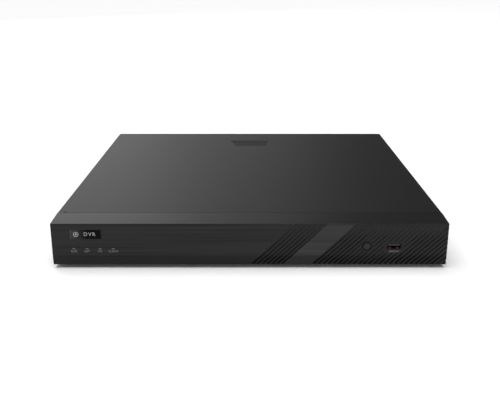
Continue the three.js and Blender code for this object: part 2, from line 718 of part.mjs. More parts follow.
part("mains_inlet", mainsInlet(), "jackPlastic", [inlet.x, 0, inlet.z]);
part("rocker_frame", rockerFrame(), "jackPlastic", [rocker.x, 0, rocker.z]);
part("rocker_lever", rockerLever(), "jackPlastic", [rocker.x, yPanel - 1.2, rocker.z]);
recorder.getObjectByName("rocker_lever").rotation.x = THREE.MathUtils.degToRad(rocker.tilt);
part("ground_screw", screw(3.4, 2, 1.6, 5), "zincSteel", [groundScrew.x, yPanel + 0.2, groundScrew.z]);
const yFan = yPanel - steel - gap - fan.depth;
part("fan_frame", fanFrame(), "jackPlastic", [fan.x, yFan, fan.z]);
part("fan_rotor", fanRotor(), "jackPlastic", [fan.x, yFan, fan.z]);
[[-16, 16], [16, -16]].forEach(([x, z], i) =>
  part(`fan_screw_${i + 1}`, screw(2.7, 1.8, 1.5, 10), "blackScrew", [fan.x + x, yPanel + 0.2, fan.z + z]),
);
part("supply_board", supplyBoard(), "boardGreen");
const transformer = join(slab(0, 0, 12, 26, 30, 23.8), slab(0, 0, 6, 32, 20, 11.8));
part("supply_transformer", transformer, "tapeYellow", [supply.x0 + 38, supply.y0 + 42, zDeck]);
const capacitor = bar("z", [0, 0, 0], 28, 10, 20);
part("supply_capacitor", capacitor, "sleeveBlue", [supply.x0 + 16, supply.y0 + 82, zDeck]);
const angle = join(slab(0, 0, 13, 3, 44, 26), slab(4, 0, 24.6, 8, 44, 2.6));
part("supply_heatsink", angle, "aluminium", [supply.x0 + 10, supply.y0 + 46, zDeck]);

// ---------- hard disk ----------

const zDisk = zFloor + disk.lift;
const diskFrame = () => {
  const w = disk.width / 2;
  const d = disk.depth / 2;
  return cut(
    block(-w, w, -d, d, 0, 21.6),
    block(-w + 4, w - 4, -10, d + 1, -1, 2.6),
    ...[-47.6, 47.6].flatMap((x) => [-32, 44.2].map((y) => bar("z", [x, y, -1], 6, 1.6, 8))),
  );
};

function diskLid() {
  const w = disk.width / 2 - 1;
  const d = disk.depth / 2 - 1;
  const chamfer = 9;
  const outline = [
    [-w + chamfer, -d], [w - chamfer, -d], [w, -d + chamfer], [w, d - chamfer],
    [w - chamfer, d], [-w + chamfer, d], [-w, d - chamfer], [-w, -d + chamfer],
  ];
  return cut(
    join(alongZ(outline, 0, 3), bar("z", [0, -22, 2.9], 1.2, 44, 32)),
    bar("z", [0, -22, 3.4], 2, 14, 20),
  );
}

part("disk_frame", diskFrame(), "castAluminium", [disk.x, disk.y, zDisk]);
part("disk_lid", diskLid(), "zincSteel", [disk.x, disk.y, zDisk + 21.7]);
part("disk_board", block(-44, 44, -8, disk.depth / 2 - 2, 0.6, 2.2), "boardGreen", [disk.x, disk.y, zDisk]);

// ---------- wiring held inside the case ----------

// A flat lead from the disk's back edge, up and over to a plug on the recorder board.
function diskLead(x, plugWide, leadWide, thickness, yPlug) {
  const yDisk = disk.y + disk.depth / 2 + gap;
  const route = [
    [yDisk + 8, 12],
    [yDisk + 10.5, 13],
    [yDisk + 11, 17],
    [yDisk + 11.5, 26],
    [yDisk + 14, 30.5],
    [yPlug - 2, 31],
    [yPlug, 28.5],
    [yPlug, 22],
  ];
  return join(
    block(x - plugWide / 2, x + plugWide / 2, yDisk, yDisk + 9, 9.4, 14.6),
    strip(route, thickness, x - leadWide / 2, x + leadWide / 2),
    block(x - plugWide / 2, x + plugWide / 2, yPlug - 3.5, yPlug + 3.5, zDeck, 23),
  );
}

part("disk_data_lead", diskLead(-118, 14, 8, 1.8, 32), "cableRed");
part("disk_power_lead", diskLead(-88, 22, 14, 2.2, 38), "cableBlack");

// Each round lead runs from one plug to another; the plugs are [x0, x1, y0, y1, z0, z1].
const leads = {
  button_board_lead: {
    material: "cableGrey",
    radius: 1.8,
    steps: 30,
    plugs: [[103, 115, yFrontBoard + 7.1, yFrontBoard + 10, 11, 16], [50, 62, 32, 38, zDeck, 18]],
    route: [
      [109, yFrontBoard + 8.4, 13.5],
      [110, -140, 12],
      [101, -128, 7.8],
      [90, -100, 7.4],
      [88, -40, 7.4],
      [87, -12, 7.8],
      [83, 0, 10],
      [72, 16, 20],
      [60, 28, 22],
      [56, 34, 17],
    ],
  },
  led_board_lead: {
    material: "cableGrey",
    radius: 1.6,
    steps: 30,
    plugs: [[-161.5, -152.5, yFrontBoard + 6.1, yFrontBoard + 9, 11.2, 16], [-169, -159, 28, 34, zDeck, 18]],
    route: [
      [-157, yFrontBoard + 7.4, 13.5],
      [-158, -140, 12],
      [-166, -128, 7.8],
      [-170, -100, 7.4],
      [-171, -40, 7.4],
      [-171, -10, 7.8],
      [-170, 4, 10],
      [-168, 18, 20],
      [-165, 27, 21],
      [-164, 31, 17],
    ],
  },
  supply_output_lead: {
    material: "cableBlack",
    radius: 2.6,
    steps: 24,
    plugs: [[128, 146, 33, 39.6, 22.4, 30], [46, 62, 58, 66, zDeck, 20]],
    route: [
      [137, 36, 28],
      [136, 33, 36],
      [124, 33, 37],
      [104, 40, 31],
      [84, 52, 26],
      [66, 60, 27],
      [56, 62, 25],
      [54, 62, 18],
    ],
  },
  fan_lead: {
    material: "cableBlack",
    radius: 1.1,
    steps: 16,
    plugs: [[48, 56, 99, 105, zDeck, 18]],
    route: [
      [71.6, yFan + 6, 12],
      [68, yFan + 5.6, 13],
      [66, 132, 18],
      [60, 114, 21],
      [54, 103, 20],
      [52, 102, 16],
    ],
  },
  mains_switch_lead: {
    material: "cableBlack",
    radius: 1.5,
    steps: 14,
    plugs: [[150, 156, 133.5, 137.9, 20, 28], [125, 131, 137.4, 141.9, 26, 31]],
    route: [[153, 135, 24], [151, 130, 25], [142, 126.5, 28], [132, 130, 30], [128, 139, 28.5]],
  },
  mains_supply_lead: {
    material: "cableBlack",
    radius: 1.5,
    steps: 14,
    plugs: [[125, 131, 137.4, 141.9, 17, 22], [158, 170, 120, 128, zDeck, 20]],
    route: [
      [128, 139, 19.5],
      [130, 131, 18],
      [138, 126, 18],
      [150, 125, 22],
      [161, 125, 23],
      [164, 124, 18],
    ],
  },
};
for (const [name, { material, radius, steps, plugs, route }] of Object.entries(leads)) {
  part(name, join(lead(route, radius, 6, steps), ...plugs.map((plug) => block(...plug))), material);
}

export default recorder;
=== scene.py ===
# A slim desktop video recorder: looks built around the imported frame.
import json
import math

import bmesh
import bpy
from mathutils import Euler, Matrix, Vector

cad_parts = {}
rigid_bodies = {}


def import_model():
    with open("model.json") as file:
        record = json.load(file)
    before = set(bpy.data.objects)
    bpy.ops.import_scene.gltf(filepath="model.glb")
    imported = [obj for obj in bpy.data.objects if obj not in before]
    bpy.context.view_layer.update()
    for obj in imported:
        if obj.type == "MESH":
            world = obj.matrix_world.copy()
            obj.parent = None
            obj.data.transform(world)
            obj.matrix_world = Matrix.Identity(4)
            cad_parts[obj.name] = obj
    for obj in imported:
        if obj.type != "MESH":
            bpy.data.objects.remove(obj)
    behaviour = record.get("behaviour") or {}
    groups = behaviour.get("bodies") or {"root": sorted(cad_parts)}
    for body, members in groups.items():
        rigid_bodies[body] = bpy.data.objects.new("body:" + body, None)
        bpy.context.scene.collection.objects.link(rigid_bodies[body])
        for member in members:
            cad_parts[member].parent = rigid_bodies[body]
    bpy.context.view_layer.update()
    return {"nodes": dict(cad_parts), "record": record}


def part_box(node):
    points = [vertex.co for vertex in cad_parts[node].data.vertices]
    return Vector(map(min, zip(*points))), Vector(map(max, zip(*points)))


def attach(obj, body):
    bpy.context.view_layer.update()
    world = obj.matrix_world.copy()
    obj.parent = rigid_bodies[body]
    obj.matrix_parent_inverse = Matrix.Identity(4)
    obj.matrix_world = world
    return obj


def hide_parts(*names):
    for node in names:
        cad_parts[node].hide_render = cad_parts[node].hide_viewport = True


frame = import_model()
mm = 0.001
record = frame["record"]
bodyOf = {node: body for body, nodes in record["behaviour"]["bodies"].items() for node in nodes}
slotOf = {entry["node"]: entry["material_slot"] for entry in record["subparts"]}
bezelLow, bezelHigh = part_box("front_bezel")
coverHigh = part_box("top_cover")[1]
faceY = bezelLow.y  # front plane of the bezel
baseZ = bezelLow.z
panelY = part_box("base_tray")[1].y  # outer face of the rear panel
print("frame loaded:", len(frame["nodes"]), "nodes")


def link(name, mesh, *materials):
    piece = bpy.data.objects.new(name, mesh)
    bpy.context.scene.collection.objects.link(piece)
    if materials and len(mesh.materials):
        mesh.materials.clear()  # this also sets every face back to the first finish
    for material in materials:
        mesh.materials.append(material)
    return piece


def meshFrom(name, points, faces, *materials):
    mesh = bpy.data.meshes.new(name)
    mesh.from_pydata([tuple(p) for p in points], [], faces)
    return link(name, mesh, *materials)


def clean(mesh, flatten=0.0, outward=True):
    work = bmesh.new()
    work.from_mesh(mesh)
    bmesh.ops.remove_doubles(work, verts=work.verts, dist=2e-6)
    bmesh.ops.dissolve_degenerate(work, dist=2e-6, edges=work.edges)
    if flatten:
        bmesh.ops.dissolve_limit(work, angle_limit=math.radians(flatten), verts=work.verts, edges=work.edges)
    if outward:
        bmesh.ops.recalc_face_normals(work, faces=work.faces)
    work.to_mesh(mesh)
    work.free()


def settle(piece):  # turn live modifiers into plain mesh
    bpy.context.view_layer.update()
    graph = bpy.context.evaluated_depsgraph_get()
    mesh = bpy.data.meshes.new_from_object(piece.evaluated_get(graph))
    piece.modifiers.clear()
    piece.data = mesh
    return piece


def soften(piece, width=0.25, segments=2, angle=30, smooth=40):
    if width:
        bevel = piece.modifiers.new("edges", "BEVEL")
        bevel.width = width * mm
        bevel.segments = segments
        bevel.limit_method = "ANGLE"
        bevel.angle_limit = math.radians(angle)
        settle(piece)
    return shadeEvenly(piece, smooth)


def shadeEvenly(piece, smooth=40):  # large flats keep their own normal right up to rounded edges
    piece.data.shade_smooth()
    piece.data.set_sharp_from_angle(angle=math.radians(smooth))
    weighted = piece.modifiers.new("evenShade", "WEIGHTED_NORMAL")
    weighted.mode = "FACE_AREA"
    weighted.weight = 100
    weighted.keep_sharp = True
    return settle(piece)


def mount(piece, body, slot=None, *replaced):
    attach(piece, body)
    if replaced:
        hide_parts(*replaced)
    return piece


def copyOf(node, name=None):
    source = frame["nodes"][node]
    mesh = source.data.copy()
    piece = link(name or node + "_look", mesh)
    clean(mesh, flatten=0.6)
    return piece


def refine(node, material, width=0.25, **softening):
    piece = copyOf(node)
    piece.data.materials.clear()
    piece.data.materials.append(material)
    soften(piece, width, **softening)
    return mount(piece, bodyOf[node], slotOf[node], node)


def paintWhere(piece, material, test):  # a second finish where test(middle in mm, normal, area in mm2) holds
    piece.data.materials.append(material)
    index = len(piece.data.materials) - 1
    for polygon in piece.data.polygons:
        if test(polygon.center / mm, polygon.normal, polygon.area / mm / mm):
            polygon.material_index = index
    return piece


def blockMesh(name, low, high, *materials):
    work = bmesh.new()
    bmesh.ops.create_cube(work, size=1)
    size = Vector(high) - Vector(low)
    middle = (Vector(high) + Vector(low)) / 2
    for v in work.verts:
        v.co = Vector((v.co.x * size.x, v.co.y * size.y, v.co.z * size.z)) + middle
    mesh = bpy.data.meshes.new(name)
    work.to_mesh(mesh)
    work.free()
    return link(name, mesh, *materials)


# A closed profile of (radius, height) turned about an axis; height runs along it.
def lathe(name, profile, sides, *materials, axis="Z", at=(0, 0, 0)):
    points, faces = [], []
    count = len(profile)
    solid = profile[0][0] == 0 and profile[-1][0] == 0  # starts and ends on the axis
    for i in range(sides):
        turn = 2 * math.pi * i / sides
        points += [(r * math.cos(turn), r * math.sin(turn), h) for r, h in profile]
    for i in range(sides):
        a, b = i * count, ((i + 1) % sides) * count
        faces += [(a + j, b + j, b + (j + 1) % count, a + (j + 1) % count) for j in range(count - solid)]
    piece = meshFrom(name, points, faces, *materials)
    turnTo = {"Z": Matrix.Identity(4), "Y": Matrix.Rotation(-math.pi / 2, 4, "X"),
              "-Y": Matrix.Rotation(math.pi / 2, 4, "X"),
              "X": Matrix.Rotation(math.pi / 2, 4, "Y"), "-X": Matrix.Rotation(-math.pi / 2, 4, "Y"),
              "-Z": Matrix.Rotation(math.pi, 4, "X")}
    piece.data.transform(Matrix.Translation(Vector(at)) @ turnTo[axis])
    clean(piece.data)
    piece.data.shade_smooth()
    piece.data.set_sharp_from_angle(angle=math.radians(38))
    return piece


def scaled(points):
    return [tuple(value * mm for value in point) for point in points]


def joined(name, pieces):
    work = bmesh.new()
    materials = []
    for piece in pieces:
        mesh = piece.data.copy()
        mesh.transform(piece.matrix_world)
        offset = []
        for material in mesh.materials:
            if material not in materials:
                materials.append(material)
            offset.append(materials.index(material))
        for polygon in mesh.polygons:
            polygon.material_index = offset[polygon.material_index] if offset else 0
        work.from_mesh(mesh)
        bpy.data.meshes.remove(mesh)
        bpy.data.objects.remove(piece)
    mesh = bpy.data.meshes.new(name)
    work.to_mesh(mesh)
    work.free()
    return link(name, mesh, *materials)


def carve(piece, cutter, operation="DIFFERENCE"):
    cut = piece.modifiers.new("carve", "BOOLEAN")
    cut.operation = operation
    cut.object = cutter
    cut.solver = "MANIFOLD"
    settle(piece)
    bpy.data.objects.remove(cutter)
    return piece


class Tree:
    def __init__(self, name, inputs):
        self.tree = bpy.data.node_groups.new(name, "GeometryNodeTree")
        self.tree.interface.new_socket("Geometry", in_out="INPUT", socket_type="NodeSocketGeometry")
        self.ids = {}
        for label, kind in inputs.items():
            self.ids[label] = self.tree.interface.new_socket(label, in_out="INPUT",
                                                             socket_type="NodeSocket" + kind).identifier
        self.tree.interface.new_socket("Geometry", in_out="OUTPUT", socket_type="NodeSocketGeometry")
        self.input = self.tree.nodes.new("NodeGroupInput")
        self.output = self.tree.nodes.new("NodeGroupOutput")

    def add(self, kind, settings=None, **inputs):
        node = self.tree.nodes.new(kind)
        for key, value in (settings or {}).items():
            setattr(node, key, value)
        for key, value in inputs.items():
            self.feed(node, key, value)
        return node

    def feed(self, node, key, value):
        socket = node.inputs[int(key[1:])] if key[0] == "_" else node.inputs[key]
        if isinstance(value, bpy.types.NodeSocket):
            self.tree.links.new(value, socket)
        else:
            socket.default_value = value

    def math(self, operation, a, b):
        return self.add("ShaderNodeMath", {"operation": operation}, _0=a, _1=b).outputs[0]

    def close(self, geometry, firstOnly=False):  # firstOnly leaves a template's second and later finishes alone
        real = self.add("GeometryNodeRealizeInstances", Geometry=geometry)
        shown = self.add("GeometryNodeSetMaterial", Geometry=real.outputs[0],
                         Material=self.input.outputs["Material"])
        if firstOnly:
            index = self.add("GeometryNodeInputMaterialIndex")
            first = self.add("FunctionNodeCompare", {"data_type": "INT", "operation": "EQUAL"})
            self.tree.links.new(index.outputs[0], first.inputs[2])
            first.inputs[3].default_value = 0
            self.feed(shown, "Selection", first.outputs[0])
        self.tree.links.new(shown.outputs[0], self.output.inputs[0])


def grow(piece, tree, values):
    modifier = piece.modifiers.new("grow", "NODES")
    modifier.node_group = tree.tree
    for label, value in values.items():
        modifier[tree.ids[label]] = value
    settle(piece)
    return piece


# a row of copies along X whose spacing widens from one to the next
rowTree = Tree("spaced row", {"Template": "Object", "Material": "Material", "Count": "Int", "First": "Float",
                              "Pitch": "Float", "Growth": "Float"})
rowIndex = rowTree.add("GeometryNodeInputIndex").outputs[0]
rowSquare = rowTree.math("MULTIPLY", rowTree.math("MULTIPLY", rowIndex, rowIndex), rowTree.input.outputs["Growth"])
rowStep = rowTree.math("MULTIPLY", rowIndex, rowTree.input.outputs["Pitch"])
rowX = rowTree.math("ADD", rowTree.math("ADD", rowStep, rowTree.input.outputs["First"]), rowSquare)
rowPlace = rowTree.add("ShaderNodeCombineXYZ", X=rowX)
rowLine = rowTree.add("GeometryNodeMeshLine", Count=rowTree.input.outputs["Count"], Offset=(0, 0, 0))
rowPoints = rowTree.add("GeometryNodeSetPosition", Geometry=rowLine.outputs[0], Position=rowPlace.outputs[0])
rowObject = rowTree.add("GeometryNodeObjectInfo", Object=rowTree.input.outputs["Template"])
rowCopies = rowTree.add("GeometryNodeInstanceOnPoints", Points=rowPoints.outputs[0],
                        Instance=rowObject.outputs["Geometry"])
rowTree.close(rowCopies.outputs[0])

# copies of a template at each point of a mesh, turned by the points' "turn"
spotTree = Tree("copies at spots", {"Template": "Object", "Material": "Material"})
spotTurn = spotTree.add("GeometryNodeInputNamedAttribute", {"data_type": "FLOAT_VECTOR"}, Name="turn")
spotEuler = spotTree.add("FunctionNodeEulerToRotation", Euler=spotTurn.outputs[0])
spotObject = spotTree.add("GeometryNodeObjectInfo", Object=spotTree.input.outputs["Template"])
spotCopies = spotTree.add("GeometryNodeInstanceOnPoints", Points=spotTree.input.outputs["Geometry"],
                          Instance=spotObject.outputs["Geometry"], Rotation=spotEuler.outputs[0])
spotTree.close(spotCopies.outputs[0], firstOnly=True)

# small parts strewn over a board at least a set distance apart, in quarter turns
strewTree = Tree("strewn parts",
                 {"Template": "Object", "Material": "Material", "Apart": "Float", "Share": "Float", "Seed": "Int"})
strewPoints = strewTree.add("GeometryNodeDistributePointsOnFaces", {"distribute_method": "POISSON"},
                            Mesh=strewTree.input.outputs["Geometry"], Seed=strewTree.input.outputs["Seed"])
strewTree.feed(strewPoints, "Distance Min", strewTree.input.outputs["Apart"])
strewTree.feed(strewPoints, "Density Max", 90000.0)
strewTree.feed(strewPoints, "Density Factor", strewTree.input.outputs["Share"])
strewQuarter = strewTree.add("FunctionNodeRandomValue", {"data_type": "INT"}, Seed=strewTree.input.outputs["Seed"])
strewQuarter.inputs[4].default_value = 0
strewQuarter.inputs[5].default_value = 3
strewAngle = strewTree.math("MULTIPLY", strewQuarter.outputs[2], math.pi / 2)
strewTurn = strewTree.add("ShaderNodeCombineXYZ", Z=strewAngle)
strewEuler = strewTree.add("FunctionNodeEulerToRotation", Euler=strewTurn.outputs[0])
strewObject = strewTree.add("GeometryNodeObjectInfo", Object=strewTree.input.outputs["Template"])
strewCopies = strewTree.add("GeometryNodeInstanceOnPoints", Points=strewPoints.outputs[0],
                            Instance=strewObject.outputs["Geometry"], Rotation=strewEuler.outputs[0])
strewTree.close(strewCopies.outputs[0], firstOnly=True)


def spots(name, places, template, turn=(0, 0, 0), keepTemplate=False):
    piece = meshFrom(name, scaled(places), [])
    turns = piece.data.attributes.new("turn", "FLOAT_VECTOR", "POINT")
    for i, entry in enumerate(turns.data):
        entry.vector = turn[i] if isinstance(turn, list) else turn
    grow(piece, spotTree, {"Template": template, "Material": template.data.materials[0]})
    if not keepTemplate:
        bpy.data.objects.remove(template)
    return piece


def shaderGroup(name, inputs, outputs):
    group = bpy.data.node_groups.new(name, "ShaderNodeTree")
    for label, (kind, value) in inputs.items():
        socket = group.interface.new_socket(label, in_out="INPUT", socket_type="NodeSocket" + kind)
        if value is not None:
            socket.default_value = value
    for label, kind in outputs.items():
        group.interface.new_socket(label, in_out="OUTPUT", socket_type="NodeSocket" + kind)
    return group, group.nodes.new("NodeGroupInput"), group.nodes.new("NodeGroupOutput")


def wire(tree, kind, settings=None, **inputs):
    node = tree.nodes.new(kind)
    for key, value in (settings or {}).items():
        setattr(node, key, value)
    for key, value in inputs.items():
        socket = node.inputs[int(key[1:])] if key[0] == "_" and key[1:].isdigit() else node.inputs[key.replace("_",
                                                                                                               " ")]
        if isinstance(value, bpy.types.NodeSocket):
            tree.links.new(value, socket)
        else:
            socket.default_value = value
    return node


def ramp(tree, value, fromMin, fromMax, toMin=0.0, toMax=1.0):
    return wire(tree, "ShaderNodeMapRange", Value=value, From_Min=fromMin, From_Max=fromMax, To_Min=toMin,
                To_Max=toMax)


def maths(tree, operation, a, b):
    return wire(tree, "ShaderNodeMath", {"operation": operation}, _0=a, _1=b)


# fine grain, slow variation and specks, all from one place
grainGroup, grainIn, grainOut = shaderGroup(
    "surface grain",
    {"Vector": ("Vector", None), "Grain": ("Float", 900.0), "Patch": ("Float", 14.0), "Speck": ("Float", 260.0)},
    {"Grain": "Float", "Patch": "Float", "Speck": "Float"},
)
fineNoise = wire(grainGroup, "ShaderNodeTexNoise", Vector=grainIn.outputs["Vector"], Scale=grainIn.outputs["Grain"],
                 Detail=2.0)
patchNoise = wire(grainGroup, "ShaderNodeTexNoise", Vector=grainIn.outputs["Vector"],
                  Scale=grainIn.outputs["Patch"], Detail=3.0)
speckNoise = wire(grainGroup, "ShaderNodeTexNoise", Vector=grainIn.outputs["Vector"],
                  Scale=grainIn.outputs["Speck"], Detail=1.0)
speckMask = wire(grainGroup, "ShaderNodeMapRange", {"interpolation_type": "SMOOTHSTEP"},
                 Value=speckNoise.outputs[0], From_Min=0.66, From_Max=0.78)
grainGroup.links.new(fineNoise.outputs[0], grainOut.inputs["Grain"])
grainGroup.links.new(patchNoise.outputs[0], grainOut.inputs["Patch"])
grainGroup.links.new(speckMask.outputs[0], grainOut.inputs["Speck"])

# rubbed edges: where a rounded normal parts from the true one
wearGroup, wearIn, wearOut = shaderGroup(
    "edge wear",
    {"Vector": ("Vector", None), "Radius": ("Float", 0.0004), "Break": ("Float", 120.0)},
    {"Mask": "Float"},
)
roundNormal = wire(wearGroup, "ShaderNodeBevel", {"samples": 4}, Radius=wearIn.outputs["Radius"])
trueNormal = wire(wearGroup, "ShaderNodeNewGeometry")
normalMatch = wire(wearGroup, "ShaderNodeVectorMath", {"operation": "DOT_PRODUCT"}, _0=roundNormal.outputs[0],
                   _1=trueNormal.outputs["Normal"])
edgeMask = ramp(wearGroup, normalMatch.outputs["Value"], 0.995, 0.9)
breakNoise = wire(wearGroup, "ShaderNodeTexNoise", Vector=wearIn.outputs["Vector"], Scale=wearIn.outputs["Break"],
                  Detail=3.0)
breakMask = ramp(wearGroup, breakNoise.outputs[0], 0.42, 0.62)
brokenEdge = maths(wearGroup, "MULTIPLY", edgeMask.outputs[0], breakMask.outputs[0])
wearGroup.links.new(brokenEdge.outputs[0], wearOut.inputs["Mask"])

# streaks drawn along X, as a brush leaves them
brushGroup, brushIn, brushOut = shaderGroup(
    "brushed streaks",
    {"Vector": ("Vector", None), "Fine": ("Float", 2200.0), "Coarse": ("Float", 420.0)},
    {"Fine": "Float", "Coarse": "Float"},
)
for brushLabel in ("Fine", "Coarse"):
    stretch = wire(brushGroup, "ShaderNodeCombineXYZ", X=0.012, Y=0.3, Z=1.0)
    drawn = wire(brushGroup, "ShaderNodeVectorMath", {"operation": "MULTIPLY"}, _0=brushIn.outputs["Vector"],
                 _1=stretch.outputs[0])
    streak = wire(brushGroup, "ShaderNodeTexNoise", Vector=drawn.outputs[0], Scale=brushIn.outputs[brushLabel],
                  Detail=3.0, Roughness=0.6)
    brushGroup.links.new(streak.outputs[0], brushOut.inputs[brushLabel])


def placeGroup(tree, group, **values):
    node = tree.nodes.new("ShaderNodeGroup")
    node.node_tree = group
    for key, value in values.items():
        if isinstance(value, bpy.types.NodeSocket):
            tree.links.new(value, node.inputs[key])
        else:
            node.inputs[key].default_value = value
    return node


def blendColor(tree, factor, a, b, mode="MIX"):
    node = tree.nodes.new("ShaderNodeMix")
    node.data_type = "RGBA"
    node.blend_type = mode
    for socket, value in ((node.inputs[0], factor), (node.inputs[6], a), (node.inputs[7], b)):
        if isinstance(value, bpy.types.NodeSocket):
            tree.links.new(value, socket)
        else:
            socket.default_value = value if isinstance(value, float) else (*value, 1.0)
    return node.outputs[2]


def newMaterial(name):
    material = bpy.data.materials.new(name)
    material.use_nodes = True
    tree = material.node_tree
    shader = tree.nodes["Principled BSDF"]
    where = wire(tree, "ShaderNodeTexCoord").outputs["Object"]
    return material, tree, shader, where


def tone(color, factor):
    return tuple(min(1.0, c * factor) for c in color)


# The everyday finish: grain, slow patches, specks and rubbed edges over one colour.
def finishOf(name, color, rough, metal=0.0, grain=900.0, bump=0.12, depth=0.02, spread=0.12, roughSpread=0.06,
             patch=14.0,
             edge=None, edgeRadius=0.3, speck=None, level=0.5, coat=0.0, coatRough=0.1):
    material, tree, shader, where = newMaterial(name)
    parts = placeGroup(tree, grainGroup, Vector=where, Grain=grain, Patch=patch)
    base = blendColor(tree, parts.outputs["Patch"], tone(color, 1 - spread), tone(color, 1 + spread))
    base = blendColor(tree, parts.outputs["Grain"], base, tone(color, 1 + spread / 2))
    if speck:
        base = blendColor(tree, parts.outputs["Speck"], base, speck)
    if edge:
        worn = placeGroup(tree, wearGroup, Vector=where, Radius=edgeRadius * mm)
        base = blendColor(tree, worn.outputs["Mask"], base, edge)
    tree.links.new(base, shader.inputs["Base Color"])
    roughness = ramp(tree, parts.outputs["Grain"], 0.3, 0.7, rough - roughSpread, rough + roughSpread)
    tree.links.new(roughness.outputs[0], shader.inputs["Roughness"])
    relief = wire(tree, "ShaderNodeBump", Height=parts.outputs["Grain"], Strength=bump, Distance=depth * mm)
    tree.links.new(relief.outputs[0], shader.inputs["Normal"])
    shader.inputs["Metallic"].default_value = metal
    shader.inputs["Specular IOR Level"].default_value = level
    if coat:
        shader.inputs["Coat Weight"].default_value = coat
        shader.inputs["Coat Roughness"].default_value = coatRough
    return material


